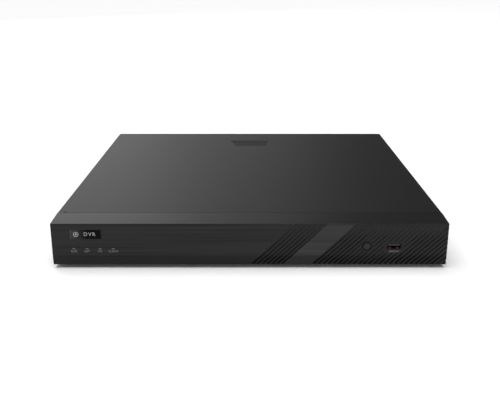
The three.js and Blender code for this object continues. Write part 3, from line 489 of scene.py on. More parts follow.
finish = {
    "coated steel": finishOf("coatedSteel", (0.006, 0.006, 0.0062), 0.52, grain=2600, bump=0.25, depth=0.03,
                             spread=0.05, edge=(0.02, 0.02, 0.0205), level=0.3),
    "tray steel": finishOf("traySteel", (0.024, 0.024, 0.0245), 0.5, grain=2600, bump=0.25, depth=0.03,
                           edge=(0.06, 0.06, 0.062)),
    # painted shade: the finger well's floor is a darker copy of the coated steel
    "well floor painted shade": finishOf("wellFloorPaintedShade", (0.003, 0.003, 0.0031), 0.6, grain=2600, bump=0.25, depth=0.03, spread=0.05,
                           level=0.2),
    # painted highlight: the finger well's sloping sides are a lighter copy of the coated steel
    "well side painted highlight": finishOf("wellSidePaintedHighlight", (0.03, 0.03, 0.031), 0.4, grain=2600, bump=0.15, spread=0.05, level=0.5),
    "bezel inside": finishOf("bezelMoulding", (0.012, 0.012, 0.0122), 0.6, grain=1800, bump=0.2, level=0.3),
    "button": finishOf("buttonCap", (0.013, 0.013, 0.0133), 0.5, grain=2200, bump=0.2, edge=(0.03, 0.03, 0.03),
                       level=0.26),
    "guide": finishOf("milkyGuide", (0.07, 0.072, 0.075), 0.3, grain=600, bump=0.05, coat=0.5),
    "print": finishOf("printedMark", (0.2, 0.203, 0.207), 0.6, grain=4000, bump=0.1),
    "bright print": finishOf("brightPrint", (0.36, 0.363, 0.37), 0.6, grain=4000, bump=0.1),
    # painted shade for gaps and openings: the button cap's sides behind the face and the terminal's wire openings
    "painted hole shade": finishOf("paintedOpeningShade", (0.004, 0.004, 0.0041), 0.75, level=0.15),
    "rubber": finishOf("footRubber", (0.016, 0.016, 0.016), 0.85, grain=1400, bump=0.5, depth=0.05, spread=0.25,
                       speck=(0.03, 0.03, 0.03), level=0.3),
    "black screw": finishOf("blackenedSteel", (0.03, 0.03, 0.032), 0.38, metal=0.85, grain=1500, bump=0.15,
                            edge=(0.3, 0.3, 0.31)),
    "zinc": finishOf("zincPlate", (0.58, 0.59, 0.6), 0.36, metal=0.8, grain=700, bump=0.12, spread=0.18,
                     roughSpread=0.12),
    "nickel": finishOf("nickelPlate", (0.62, 0.6, 0.56), 0.26, metal=0.8, grain=900, bump=0.08, spread=0.14,
                       roughSpread=0.1),
    # painted shade: nickel darkened to near black for the front port's shell, which sits in shade
    "nickel painted shade": finishOf("nickelPaintedShade", (0.012, 0.012, 0.012), 0.45, metal=0.6, grain=900, bump=0.08),
    "gold": finishOf("goldFlash", (0.6, 0.36, 0.12), 0.3, metal=0.85, grain=900, bump=0.08),
    "copper": finishOf("springCopper", (0.1, 0.032, 0.014), 0.5, metal=0.3, grain=900, bump=0.08),
    "jack": finishOf("jackPlastic", (0.018, 0.018, 0.019), 0.48, grain=1700, bump=0.2, edge=(0.04, 0.04, 0.04)),
    "cream": finishOf("creamInsulator", (0.62, 0.58, 0.48), 0.5, grain=1200, bump=0.1),
    "terminal": finishOf("greenTerminal", (0.03, 0.26, 0.09), 0.45, grain=1500, bump=0.15, edge=(0.08, 0.4, 0.18)),
    "aluminium": finishOf("extrudedAluminium", (0.6, 0.61, 0.62), 0.38, metal=0.8, grain=1100, bump=0.15,
                          spread=0.2, roughSpread=0.1),
    "casting": finishOf("diskCasting", (0.42, 0.43, 0.44), 0.55, metal=0.85, grain=800, bump=0.5, depth=0.06,
                        spread=0.2, speck=(0.3, 0.3, 0.31)),
    "chip": finishOf("chipPackage", (0.02, 0.021, 0.022), 0.5, grain=2400, bump=0.25, speck=(0.05, 0.05, 0.05)),
    "tape": finishOf("windingTape", (0.62, 0.4, 0.05), 0.4, grain=500, bump=0.15, coat=0.3),
    "ferrite": finishOf("ferriteCore", (0.045, 0.042, 0.04), 0.6, grain=1500, bump=0.4),
    "sleeve": finishOf("capacitorSleeve", (0.03, 0.05, 0.17), 0.32, grain=500, bump=0.06, coat=0.4),
    "red lead": finishOf("redLead", (0.42, 0.025, 0.02), 0.5, grain=900, bump=0.1),
    "black lead": finishOf("blackLead", (0.02, 0.02, 0.021), 0.55, grain=1200, bump=0.15),
    "grey lead": finishOf("greyLead", (0.32, 0.32, 0.33), 0.55, grain=1200, bump=0.15),
    "white plug": finishOf("whitePlug", (0.6, 0.59, 0.54), 0.5, grain=1500, bump=0.1),
    "blue insert": finishOf("blueInsert", (0.02, 0.07, 0.32), 0.45, grain=1500, bump=0.1),
    "red insert": finishOf("redInsert", (0.5, 0.02, 0.02), 0.45, grain=1500, bump=0.1),
    "pale insert": finishOf("paleInsert", (0.7, 0.7, 0.68), 0.45, grain=1500, bump=0.1),
    "green lamp": finishOf("greenLamp", (0.05, 0.4, 0.08), 0.3, grain=900, bump=0.05, coat=0.4),
    "amber lamp": finishOf("amberLamp", (0.6, 0.3, 0.03), 0.3, grain=900, bump=0.05, coat=0.4),
    "lever": finishOf("rockerLever", (0.014, 0.014, 0.0145), 0.28, grain=1500, bump=0.06, edge=(0.04, 0.04, 0.04)),
    "pale print": finishOf("palePrint", (0.55, 0.55, 0.54), 0.6, grain=4000, bump=0.1),
    "lid": finishOf("lidPlate", (0.5, 0.51, 0.52), 0.42, metal=1.0, grain=1000, bump=0.12, spread=0.1,
                    roughSpread=0.08),
}
print("everyday finishes made:", len(finish))


# The bezel's face: brushed panels and matt ribbed bands that slant at 45 degrees, with painted shade darkening the
# leaning facet below and a painted highlight on the brushed panel between the bands.
bezelLook = {
    "bands": [(-0.7, 31.4), (58.4, 400.0)],  # in mm of X less height
    "brushed": (0.0095, 0.0095, 0.0097),
    "panel": (31.4, 58.4),  # the brushed piece between the bands, made brighter by a painted highlight
    "panelPaintedHighlight": 2.4,
    "ribbed": (0.0075, 0.0075, 0.0077),
    "topBand": (0.0105, 0.0105, 0.0107),
    # painted shade on the leaning facet, as a factor on its base colour
    "facetPaintedShade": 0.34,
    "facetTop": 10.0,  # height of the leaning facet
    "softEdge": 0.15,
    "smoothRough": 0.3,
    "drawnRough": 0.56,
    "plainRough": 0.4,
    "faceTop": 46.4,
}


def slantMask(tree, slant, start, end):  # one between the two slanted edges, nought outside
    soft = bezelLook["softEdge"]
    enter = ramp(tree, slant.outputs[0], (start - soft) * mm, (start + soft) * mm)
    leave = ramp(tree, slant.outputs[0], (end - soft) * mm, (end + soft) * mm, 1.0, 0.0)
    return maths(tree, "MULTIPLY", enter.outputs[0], leave.outputs[0])


def bezelFaceMaterial():
    material, tree, shader, where = newMaterial("brushedBezel")
    axes = wire(tree, "ShaderNodeSeparateXYZ", Vector=where)
    slant = maths(tree, "SUBTRACT", axes.outputs["X"], axes.outputs["Z"])
    slant = maths(tree, "ADD", slant.outputs[0], baseZ)
    left, right = [slantMask(tree, slant, start, end) for start, end in bezelLook["bands"]]
    mask = maths(tree, "MAXIMUM", left.outputs[0], right.outputs[0])
    panel = slantMask(tree, slant, *bezelLook["panel"])
    # the strip on top is plain, neither brushed nor ribbed
    faceOnly = maths(tree, "LESS_THAN", axes.outputs["Z"], bezelLook["faceTop"] * mm)
    mask = maths(tree, "MULTIPLY", mask.outputs[0], faceOnly.outputs[0])
    streaks = placeGroup(tree, brushGroup, Vector=where, Fine=2600.0, Coarse=520.0)
    grains = placeGroup(tree, grainGroup, Vector=where, Grain=2400.0, Patch=22.0)
    drawn = ramp(tree, streaks.outputs["Coarse"], 0.32, 0.68)
    brushed = blendColor(tree, drawn.outputs[0], tone(bezelLook["brushed"], 0.3), tone(bezelLook["brushed"], 1.7))
    brushed = blendColor(tree, streaks.outputs["Fine"], brushed, tone(bezelLook["brushed"], 1.1))
    # painted highlight: the brushed panel between the bands is lightened in the base colour
    panelHighlightLevel = wire(tree, "ShaderNodeMapRange", Value=panel.outputs[0], To_Min=1.0, To_Max=bezelLook["panelPaintedHighlight"])
    panelHighlightTone = wire(tree, "ShaderNodeCombineColor", Red=panelHighlightLevel.outputs[0], Green=panelHighlightLevel.outputs[0], Blue=panelHighlightLevel.outputs[0])
    brushed = blendColor(tree, 1.0, brushed, panelHighlightTone.outputs[0], "MULTIPLY")
    ribbed = blendColor(tree, grains.outputs["Patch"], tone(bezelLook["ribbed"], 0.94),
                        tone(bezelLook["ribbed"], 1.06))
    base = blendColor(tree, mask.outputs[0], brushed, ribbed)
    base = blendColor(tree, faceOnly.outputs[0], bezelLook["topBand"], base)
    # painted shade: below facetTop the base colour is darkened, since the leaning facet faces down and gets less
    # light
    low = ramp(tree, axes.outputs["Z"], baseZ + (bezelLook["facetTop"] - 0.25) * mm,
               baseZ + (bezelLook["facetTop"] + 0.25) * mm, bezelLook["facetPaintedShade"], 1.0)
    shade = wire(tree, "ShaderNodeCombineColor", Red=low.outputs[0], Green=low.outputs[0], Blue=low.outputs[0])
    base = blendColor(tree, 1.0, base, shade.outputs[0], "MULTIPLY")
    tree.links.new(base, shader.inputs["Base Color"])
    plain = maths(tree, "SUBTRACT", 1.0, faceOnly.outputs[0])
    plain = maths(tree, "MAXIMUM", mask.outputs[0], plain.outputs[0])
    drawnRough = ramp(tree, streaks.outputs["Coarse"], 0.32, 0.68, bezelLook["drawnRough"],
                      bezelLook["smoothRough"])
    rough = wire(tree, "ShaderNodeMix", {"data_type": "FLOAT"}, _0=plain.outputs[0], _2=drawnRough.outputs[0],
                 _3=bezelLook["plainRough"])
    tree.links.new(rough.outputs[0], shader.inputs["Roughness"])
    height = wire(tree, "ShaderNodeMix", {"data_type": "FLOAT"}, _0=plain.outputs[0], _2=streaks.outputs["Fine"],
                  _3=grains.outputs["Grain"])
    relief = wire(tree, "ShaderNodeBump", Height=height.outputs[0], Strength=0.25, Distance=0.02 * mm)
    tree.links.new(relief.outputs[0], shader.inputs["Normal"])
    shader.inputs["Specular IOR Level"].default_value = 0.23
    return material


ribs = {
    "grooves": [(7, 1.75, 4.76, 0.0), (26, 60.5, 4.77, 0.0085)],  # count, first, pitch, growth
    "recess": [(-0.7, 31.4), (58.4, 240.0)],
    "recessDepth": 0.12,
    "depth": 0.8,
    "lean": 0.65,
    "fade": [(3.0, 1.0), (14.0, 1.0), (28.0, 0.7), (37.0, 0.22), (46.8, 0.05)],  # height, share of the depth
    "buttonPad": 5.9,
    "portPad": (129.3, 147.7, 16.9, 28.1),
}


# A bar that follows the face from below the bezel to above it; outline is (slant offset, depth share, fixed depth).
def slantedBar(name, outline, depthAt):
    points, faces = [], []
    for height, share in ribs["fade"]:
        surface = faceY / mm + ribs["lean"] * max(0.0, (14.0 - height) / 10.0)
        for slant, scale, fixed in outline:
            points.append((slant + height - 4.0, surface + depthAt * scale * share + fixed, height))
    count = len(outline)
    rows = len(ribs["fade"])
    for row in range(rows - 1):
        for i in range(count):
            a, b = row * count + i, row * count + (i + 1) % count
            faces.append((a, b, b + count, a + count))
    faces.append(tuple(range(count)))
    faces.append(tuple((rows - 1) * count + i for i in reversed(range(count))))
    piece = meshFrom(name, scaled(points), faces)
    clean(piece.data)
    return piece


def buildBezel():
    face = bezelFaceMaterial()
    bezel = copyOf("front_bezel", "bezel_shell")
    bezel.data.materials.clear()
    bezel.data.materials.append(face)
    bezel.data.materials.append(finish["bezel inside"])
    soften(bezel, 0.3, segments=3)
    flat = ribs["recessDepth"]
    for start, end in ribs["recess"]:
        carve(bezel, slantedBar("recess", [(start, 0, -2), (end, 0, -2), (end, 0, flat), (start, 0, flat)], 0))
    # a shallow ramp that faces right, then the groove itself
    outline = [(-2.2, 0, -1.0), (-2.2, 0, flat - 0.02), (-0.1, 0, flat + 0.16), (0.05, 1, flat + 0.16),
               (0.85, 1, flat + 0.16), (1.0, 0, flat - 0.02), (1.0, 0, -1.0)]
    for count, first, pitch, growth in ribs["grooves"]:
        template = slantedBar("grooveBar", outline, ribs["depth"])
        cutters = grow(meshFrom("grooves", [(0, 0, 0)], []), rowTree, {
            "Template": template, "Count": count, "First": first * mm, "Pitch": pitch * mm, "Growth": growth * mm})
        bpy.data.objects.remove(template)
        buttonLow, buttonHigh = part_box("power_button")
        middle = (buttonLow + buttonHigh) / 2
        radius = ribs["buttonPad"] * mm
        pad = lathe("pad", [(0.0, -4 * mm), (radius, -4 * mm), (radius, 4 * mm), (0.0, 4 * mm)], 64, axis="Y",
                    at=(middle.x, faceY, middle.z))
        carve(cutters, pad)
        x0, x1, z0, z1 = (value * mm for value in ribs["portPad"])
        carve(cutters, blockMesh("pad", (x0, faceY - 4 * mm, z0), (x1, faceY + 4 * mm, z1)))
        carve(bezel, cutters)
    clean(bezel.data, outward=False)
    for polygon in bezel.data.polygons:  # inside and back of the shell keep the plain moulding
        inFront = polygon.center.y < faceY + 2.05 * mm
        onTop = polygon.normal.z > 0.9 and polygon.center.z > bezelHigh.z - 2 * mm
        atEnd = abs(polygon.center.x) > bezelHigh.x - 0.6 * mm
        polygon.material_index = 0 if inFront or onTop or atEnd else 1
    shadeEvenly(bezel, 28)
    mount(bezel, "case", "black_moulding", "front_bezel")
    print("bezel built:", len(bezel.data.polygons), "faces")


buildBezel()


def lettering(name, text, size, middle, material, turn=(math.pi / 2, 0, 0), spacing=1.0, thick=0.03):
    curve = bpy.data.curves.new(name, "FONT")
    curve.body = text
    curve.size = size * mm
    curve.align_x = "CENTER"
    curve.align_y = "CENTER"
    curve.space_character = spacing
    curve.extrude = thick * mm
    curve.resolution_u = 3
    source = bpy.data.objects.new(name + "_curve", curve)
    bpy.context.scene.collection.objects.link(source)
    bpy.context.view_layer.update()
    mesh = bpy.data.meshes.new_from_object(source.evaluated_get(bpy.context.evaluated_depsgraph_get()))
    bpy.data.objects.remove(source)
    mesh.transform(Matrix.Translation(Vector(middle)) @ Euler(turn).to_matrix().to_4x4())
    return link(name, mesh, material)


badge = {"rim": 0.35, "rimHeight": 0.12, "tint": (0.05, 0.0505, 0.052), "textSize": 5.2, "textAt": 0.63,
         "symbolRadius": 2.5, "symbolAt": 0.2, "lineWidth": 0.55, "raised": 0.08}


def badgeMaterial(low, high):
    material, tree, shader, where = newMaterial("badgeGloss")
    axes = wire(tree, "ShaderNodeSeparateXYZ", Vector=where)
    grains = placeGroup(tree, grainGroup, Vector=where, Grain=1500.0, Patch=60.0)
    fade = ramp(tree, axes.outputs["X"], low.x, low.x + 0.52 * (high.x - low.x), 1.0, 0.0)
    base = blendColor(tree, fade.outputs[0], (0.001, 0.001, 0.0011), badge["tint"])
    base = blendColor(tree, grains.outputs["Speck"], base, (0.01, 0.01, 0.01))
    tree.links.new(base, shader.inputs["Base Color"])
    rough = ramp(tree, grains.outputs["Patch"], 0.3, 0.7, 0.14, 0.24)
    tree.links.new(rough.outputs[0], shader.inputs["Roughness"])
    shader.inputs["Specular IOR Level"].default_value = 0.06
    return material


def buildBadge():
    low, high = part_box("badge_plate")
    plate = refine("badge_plate", badgeMaterial(low, high), 0.2)
    plate.name = "badge_face"
    middle = (low + high) / 2
    width = high.x - low.x
    front = low.y
    rim = badge["rim"] * mm
    outer, inner = front - badge["rimHeight"] * mm, front - 0.02 * mm
    ring = []
    for inset, y in ((0.0, inner), (0.0, outer), (rim, outer), (rim, inner)):
        ring += [(low.x + inset, y, low.z + inset), (high.x - inset, y, low.z + inset),
                 (high.x - inset, y, high.z - inset), (low.x + inset, y, high.z - inset)]
    faces = []
    for level in range(4):
        a, b = level * 4, ((level + 1) % 4) * 4
        faces += [(a + i, a + (i + 1) % 4, b + (i + 1) % 4, b + i) for i in range(4)]
    frameRim = meshFrom("badge_rim", ring, faces, finishOf("badgeRim", (0.04, 0.0405, 0.042), 0.35, level=0.2))
    clean(frameRim.data)
    mount(frameRim, "case", "gloss_black")
    at = (low.x + badge["symbolAt"] * width, front - 0.01 * mm, middle.z)
    r, thick = badge["symbolRadius"], badge["raised"]
    inside = r - badge["lineWidth"]
    symbol = lathe("badge_ring", scaled([(inside, 0), (r, 0), (r, thick), (inside, thick)]), 40, finish["print"],
                   axis="-Y", at=at)
    dot = lathe("badge_dot", scaled([(0.0, 0), (0.95, 0), (0.95, thick), (0.0, thick)]), 28, finish["print"],
                axis="-Y", at=at)
    word = lettering("badge_word", "DVR", badge["textSize"],
                     (low.x + badge["textAt"] * width, front - 0.05 * mm, middle.z), finish["print"], spacing=1.25)
    marks = joined("badge_marks", [symbol, dot, word])
    marks.data.materials[0] = finish["bright print"]
    mount(marks, "case", "gloss_black")


# Words under the four lights and the port, in mm above the floor.
frontWords = {"lights": ("RUN", "NET", "HD", "CLOUD"), "lightSize": 2.7, "lightHeight": 18.05, "endInset": 3,
              "port": "BACKUP", "portSize": 2.4, "portHeight": 18.0}


def buildFrontWords():
    refine("light_guide", finish["guide"], 0.08)
    guideLow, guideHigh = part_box("light_guide")
    pitch = (guideHigh.x - guideLow.x - 2 * frontWords["endInset"] * mm) / 3
    words = []
    for i, label in enumerate(frontWords["lights"]):
        at = (guideLow.x + frontWords["endInset"] * mm + i * pitch, faceY - 0.02 * mm, frontWords["lightHeight"] * mm)
        words.append(lettering("word", label, frontWords["lightSize"], at, finish["print"], spacing=1.05))
    portLow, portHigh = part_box("usb_port_shell")
    at = ((portLow.x + portHigh.x) / 2, faceY + (ribs["recessDepth"] - 0.02) * mm, frontWords["portHeight"] * mm)
    words.append(lettering("word", frontWords["port"], frontWords["portSize"], at, finish["print"]))
    mount(joined("face_words", words), "case", "black_moulding")


# The cap's outline: a shallow crown, a flange behind the face, then the stem that meets the switch.
buttonCap = [(0, 0.1), (2.4, 0.08), (3.3, 0.0), (3.52, 0.12), (3.62, 0.4), (3.66, 3.1), (5.6, 3.2), (5.6, 4.4),
             (1.9, 4.4), (1.9, 8.9), (1.6, 9.0), (0, 9.0)]


def buildButton():
    low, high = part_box("power_button")
    at = Vector(((low.x + high.x) / 2, low.y, (low.z + high.z) / 2))
    cap = lathe("button_cap", scaled(buttonCap), 72, finish["button"], axis="Y", at=at)
    # painted shade: the cap's sides behind the face are near black, as the gap around the cap lies in shade
    paintWhere(cap, finish["painted hole shade"], lambda c, n, a: c.y > at.y / mm + 1.0)
    mount(cap, "button", "black_moulding", "power_button")


# A bent contact spring in the port's mouth: points along its top, then its underside 0.2 below.
springBend = {"path": [(0.2, 0.35), (1.6, 1.15), (6, 0.36)], "thick": 0.2, "half": 1}


def springMesh():
    top = [(side * springBend["half"], y, z) for y, z in springBend["path"] for side in (-1, 1)]
    under = [(x, y, z - springBend["thick"]) for x, y, z in top]
    faces = [(0, 1, 3, 2), (2, 3, 5, 4), (7, 6, 8, 9), (9, 8, 10, 11), (0, 2, 8, 6), (2, 4, 10, 8),
             (3, 1, 7, 9), (5, 3, 9, 11), (1, 0, 6, 7), (4, 5, 11, 10)]
    spring = meshFrom("spring", scaled(top + under), faces, finish["copper"])
    clean(spring.data)
    return spring


def buildFrontPort():
    portLow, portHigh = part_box("usb_port_shell")
    center = (portLow.x + portHigh.x) / 2 / mm
    # the port's shell is nickel darkened as painted shade
    refine("usb_port_shell", finish["nickel painted shade"], 0.06)
    refine("usb_port_tongue", finishOf("tonguePlastic", (0.03, 0.03, 0.0315), 0.4, level=0.25), 0.12)
    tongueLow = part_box("usb_port_tongue")[0] / mm
    strip = blockMesh("strip", (-0.55 * mm, 0, -0.1 * mm), (0.55 * mm, 7 * mm, 0), finish["gold"])
    places = [(center + (i - 1.5) * 2.3, tongueLow.y + 0.5, tongueLow.z) for i in range(4)]
    strips = spots("usb_contacts", places, strip)
    places = [(center + side * 3.6, portLow.y / mm + 0.3, portLow.z / mm + 0.25) for side in (-1, 1)]
    springs = spots("usb_springs", places, springMesh())
    mount(joined("usb_metal", [strips, springs]), "case", "nickel")
    print("front details built")


buildBadge()
buildFrontWords()
buildButton()
buildFrontPort()


def middleOf(node):
    low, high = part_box(node)
    return (low + high) / 2


def panHead(name, radius, height, material):
    outline = [(0, 0), (radius * 0.97, 0), (radius, 0.1 * height), (radius * 0.98, 0.42 * height),
               (radius * 0.88, 0.72 * height),
               (radius * 0.66, 0.92 * height), (radius * 0.35, height), (0, height)]
    head = lathe(name, scaled(outline), 36, material)
    for wide, deep in ((0.55, 0.14), (0.14, 0.55)):
        slot = blockMesh("slot", (-radius * wide * mm, -radius * deep * mm, height * 0.35 * mm),
                         (radius * wide * mm, radius * deep * mm, height * 1.2 * mm))
        carve(head, slot)
    return shadeEvenly(head, 30)


facing = {"rear": (-math.pi / 2, 0, 0), "left": (0, -math.pi / 2, 0), "right": (0, math.pi / 2, 0), "up": (0, 0, 0)}
screwSets = {
    "cover_screws": {"radius": 3.0, "height": 1.9, "finish": "black screw", "facing": "rear",
                     "nodes": ["rear_cover_screw_1", "rear_cover_screw_2"]},
    "fan_screws": {"radius": 2.7, "height": 1.8, "finish": "black screw", "facing": "rear",
                   "nodes": ["fan_screw_1", "fan_screw_2"]},
    "earth_screw": {"radius": 3.4, "height": 2.0, "finish": "zinc", "facing": "rear", "nodes": ["ground_screw"]},
    "left_screw": {"radius": 3.0, "height": 1.6, "finish": "black screw", "facing": "left",
                   "nodes": ["side_cover_screw_left"]},
    "right_screw": {"radius": 3.0, "height": 1.6, "finish": "black screw", "facing": "right",
                    "nodes": ["side_cover_screw_right"]},
}


def buildScrews():
    for name, entry in screwSets.items():
        places, shanks = [], []
        for node in entry["nodes"]:
            low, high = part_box(node)
            at = (low + high) / 2
            if entry["facing"] == "rear":
                at.y = high.y - entry["height"] * mm
                inward = (at.x, at.y - 4 * mm, at.z)
            elif entry["facing"] == "left":
                at.x = low.x + entry["height"] * mm
                inward = (at.x + 3 * mm, at.y, at.z)
            else:
                at.x = high.x - entry["height"] * mm
                inward = (at.x - 3 * mm, at.y, at.z)
            places.append(tuple(at / mm))
            shanks.append(tuple(value / mm for value in inward))
        heads = spots(name, places, panHead("head", entry["radius"], entry["height"], finish[entry["finish"]]),
                      facing[entry["facing"]])
        shank = lathe("shank", scaled([(0, 0), (1.2, 0), (1.25, 0.2), (1.25, 4.1), (0, 4.1)]), 16,
                      finish[entry["finish"]])
        shanks = spots(name + "_shank", shanks, shank, facing[entry["facing"]])
        piece = joined(name, [heads, shanks])
        mount(piece, "case", slotOf[entry["nodes"][0]], *entry["nodes"])
    pillars = [f"board_pillar_{i}" for i in range(1, 5)]
    places = []
    for node in pillars:
        low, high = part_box(node)
        places.append(tuple(Vector(((low.x + high.x) / 2, (low.y + high.y) / 2, low.z)) / mm))
    post = lathe("post", scaled([(0, 0), (2.9, 0), (3.1, 0.15), (3.1, 4.75), (2.9, 4.9), (1.2, 4.9), (1.2, 6.8),
                                 (0, 6.8)]), 6, finish["zinc"])
    posts = spots("posts", places, post)
    heads = spots("heads", [(x, y, z + 6.7) for x, y, z in places], panHead("head", 2.7, 1.6, finish["zinc"]))
    mount(joined("board_pillars", [posts, heads]), "case", "zinc_steel", *pillars)
    feet = [f"foot_{i}" for i in range(1, 5)]
    places = [(middleOf(node).x / mm, middleOf(node).y / mm, 0) for node in feet]
    pad = lathe("pad", scaled([(0, 1.2), (2.4, 1.2), (2.6, 0.9), (2.9, 0.35), (3.4, 0.05), (5.0, 0), (5.2, 0.35),
                               (5.6, 0.35), (5.8, 0), (7.3, 0),
                                (7.9, 0.3), (8.15, 0.9), (8.9, 3.2), (8.9, 3.6), (8.6, 3.9), (1.8, 3.9), (1.8, 5.6),
                                (1.5, 6.1), (0, 6.1)]), 48, finish["rubber"])
    mount(spots("feet", places, pad), "case", "rubber", *feet)
    print("screws, pillars and feet built")


buildScrews()


rear = {
    "jackSteps": (-21.6, -7.2, 7.2, 21.6),
    "rows": (19.6, 33.6),
    "threads": 5,
    "blockHalf": 29,  # half the width of a block of eight jacks
    "panelThick": 1.3,
    "pins": [(-7, -2), (7, -2), (0, 2)],  # from the inlet's middle
}


def videoJack():
    outline = [(0, 2.6), (3.72, 2.6), (3.75, 12.0), (3.95, 12.3), (4.55, 12.3), (4.8, 12.05)]
    for i in range(rear["threads"]):
        z = 6.6 - i * 0.85
        outline += [(4.8, z), (4.55, z - 0.25), (4.55, z - 0.4), (4.8, z - 0.62)]
    outline += [(4.8, 1.9), (5.5, 1.9), (5.9, 1.6), (6.0, 1.3), (6.0, -1.3), (0, -1.3)]
    shell = lathe("shell", scaled(outline), 40, finish["nickel"])
    insulator = lathe("insulator",
                      scaled([(0, 2.5), (2.5, 2.5), (2.5, 9.6), (2.3, 9.9), (0.8, 9.9), (0.7, 9.6), (0.7, 6.0),
                              (0, 6.0)]), 28, finish["cream"])
    contact = lathe("contact", scaled([(0, 5.9), (0.62, 5.9), (0.62, 10.1), (0.34, 10.3), (0.3, 8.0), (0, 8.0)]),
                    18, finish["gold"])
    lugs = [lathe("lug", scaled([(0, 4.4), (0.95, 4.4), (0.95, 5.6), (0.75, 5.85), (0, 5.85)]), 18,
                  finish["nickel"], axis=axis, at=(0, 0, 8.3 * mm)) for axis in ("X", "-X")]
    return joined("videoJack", [shell, insulator, contact, *lugs])


def audioJack(color):
    outline = [(0, 1.0), (2.95, 1.0), (2.95, 8.7), (3.15, 9.0), (3.85, 9.0), (4.1, 8.7), (4.1, 1.6), (4.0, 1.4),
               (4.0, -1.3), (0, -1.3)]
    shell = lathe("shell", scaled(outline), 36, finish["nickel"])
    ring = lathe("ring", scaled([(4.0, -1.0), (5.2, -1.0), (5.2, 0.9), (4.95, 1.3), (4.05, 1.3)]), 36,
                 finish[color])
    core = lathe("core", scaled([(0, 0.9), (2.1, 0.9), (2.1, 7.4), (1.9, 7.7), (1.7, 7.7), (1.6, 7.4), (1.6, 2.0),
                                 (0, 2.0)]), 28, finish[color])
    return joined("audioJack", [shell, ring, core])


def buildJacks():
    panel = panelY / mm
    behind = panelY - rear["panelThick"] * mm
    half = rear["blockHalf"] * mm
    jack = videoJack()
    for node in ("video_jack_block_1", "video_jack_block_2"):
        middle = middleOf(node).x / mm
        low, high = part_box(node)
        left, right = middle * mm - half, middle * mm + half
        body = blockMesh(node, (left, low.y, low.z), (right, behind, high.z), finish["jack"])
        body = soften(body, 0.5, segments=3)
        places = [(middle + step, panel, row) for step in rear["jackSteps"] for row in rear["rows"]]
        jacks = spots(node + "_jacks", places, jack, facing["rear"], keepTemplate=True)
        mount(joined(node + "_look", [body, jacks]), "case", "nickel", node)
    bpy.data.objects.remove(jack)
    low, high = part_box("audio_jack_block")
    middle = middleOf("audio_jack_block").x / mm
    body = soften(blockMesh("audio", low, (high.x, behind, high.z), finish["jack"]), 0.5, segments=3)
    pair = []
    for row, color in zip(rear["rows"], ("red insert", "pale insert")):
        pair.append(spots("audioJack", [(middle, panel, row)], audioJack(color), facing["rear"]))
    mount(joined("audio_jacks", [body, *pair]), "case", "jack_plastic", "audio_jack_block")


def buildMonitorAndNetwork():
    panel = panelY / mm
    monitor = refine("monitor_port", finish["nickel"], 0.12)
    middle = middleOf("monitor_port").x / mm
    paintWhere(monitor, finish["jack"], lambda c, n, a: c.y < panel - 1.2)
    paintWhere(monitor, finish["blue insert"],
               lambda c, n, a: n.y > 0.9 and c.y > panel + 5.5 and abs(c.x - middle) < 8.5)
    network = refine("network_port", finish["nickel"], 0.15)
    at = middleOf("network_port").x / mm
    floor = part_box("network_port")[0].z / mm
    paintWhere(network, finish["jack"],
               lambda c, n, a: abs(c.x - at) < 5.95 and floor + 2.1 < c.z < floor + 12.3 and c.y < panel + 0.9)
    wireStrip = blockMesh("wire", (-0.22 * mm, (panel - 11) * mm, (floor + 2.4) * mm),
                          (0.22 * mm, (panel - 2) * mm, (floor + 2.9) * mm), finish["gold"])
    wires = grow(meshFrom("network_wires", [(0, 0, 0)], []), rowTree, {
        "Template": wireStrip, "Material": finish["gold"], "Count": 8, "First": (at - 3.57) * mm,
        "Pitch": 1.02 * mm, "Growth": 0.0})
    bpy.data.objects.remove(wireStrip)
    lamps = [blockMesh("lamp", ((at + side * 6.2 - 1.3) * mm, (panel + 0.6) * mm, (floor + 11.2) * mm),
                       ((at + side * 6.2 + 1.3) * mm, (panel + 1.15) * mm, (floor + 12.8) * mm), finish[color])
             for side, color in ((-1, "green lamp"), (1, "amber lamp"))]
    lamps = [soften(lamp, 0.2) for lamp in lamps]
    mount(joined("network_details", [wires, *lamps]), "case", "nickel")


def buildDataAndDisplay():
    panel = panelY / mm
    data = refine("rear_usb_ports", finish["nickel"], 0.12)
    at = middleOf("rear_usb_ports").x / mm
    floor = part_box("rear_usb_ports")[0].z / mm

    def inTongue(c, n, a):  # either of the two stacked tongues
        inHeight = any(floor + z - 0.02 < c.z < floor + z + 1.95 for z in (3.9, 12.1))
        return abs(c.x - at) < 5.65 and inHeight and c.y > panel - 13

    paintWhere(data, finish["blue insert"], inTongue)
    display = refine("display_port", finish["nickel"], 0.1)
    tab = middleOf("display_port").x / mm
    paintWhere(display, finish["jack"],
               lambda c, n, a: abs(c.x - tab) < 5.7 and abs(c.z - (floor + 3.5)) < 0.7 and c.y > panel - 8)


def buildTerminal():
    panel = panelY / mm
    terminal = refine("alarm_terminal_block", finish["terminal"], 0.25)
    at = middleOf("alarm_terminal_block").x / mm
    low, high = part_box("alarm_terminal_block")

    def inClamp(c, n, a):  # the walls of the wire openings, which take painted shade
        inside = abs(c.x - at) < 9.2 and low.z / mm + 2 < c.z < high.z / mm - 2.5
        return c.y < panel + 2.9 and abs(n.y) < 0.5 and inside

    paintWhere(terminal, finish["painted hole shade"], inClamp)
    clampHead = panHead("clamp", 1.25, 0.8, finish["zinc"])
    clamps = grow(meshFrom("terminal_clamps", [(0, 0, 0)], []), rowTree, {
        "Template": clampHead, "Material": finish["zinc"], "Count": 5, "First": 0.0, "Pitch": 3.81 * mm,
        "Growth": 0.0})
    clamps.data.transform(Matrix.Translation(((at - 7.62) * mm, (panel + 3 - 5.5) * mm, high.z - 1.1 * mm)))
    bpy.data.objects.remove(clampHead)
    mount(clamps, "case", "zinc_steel")


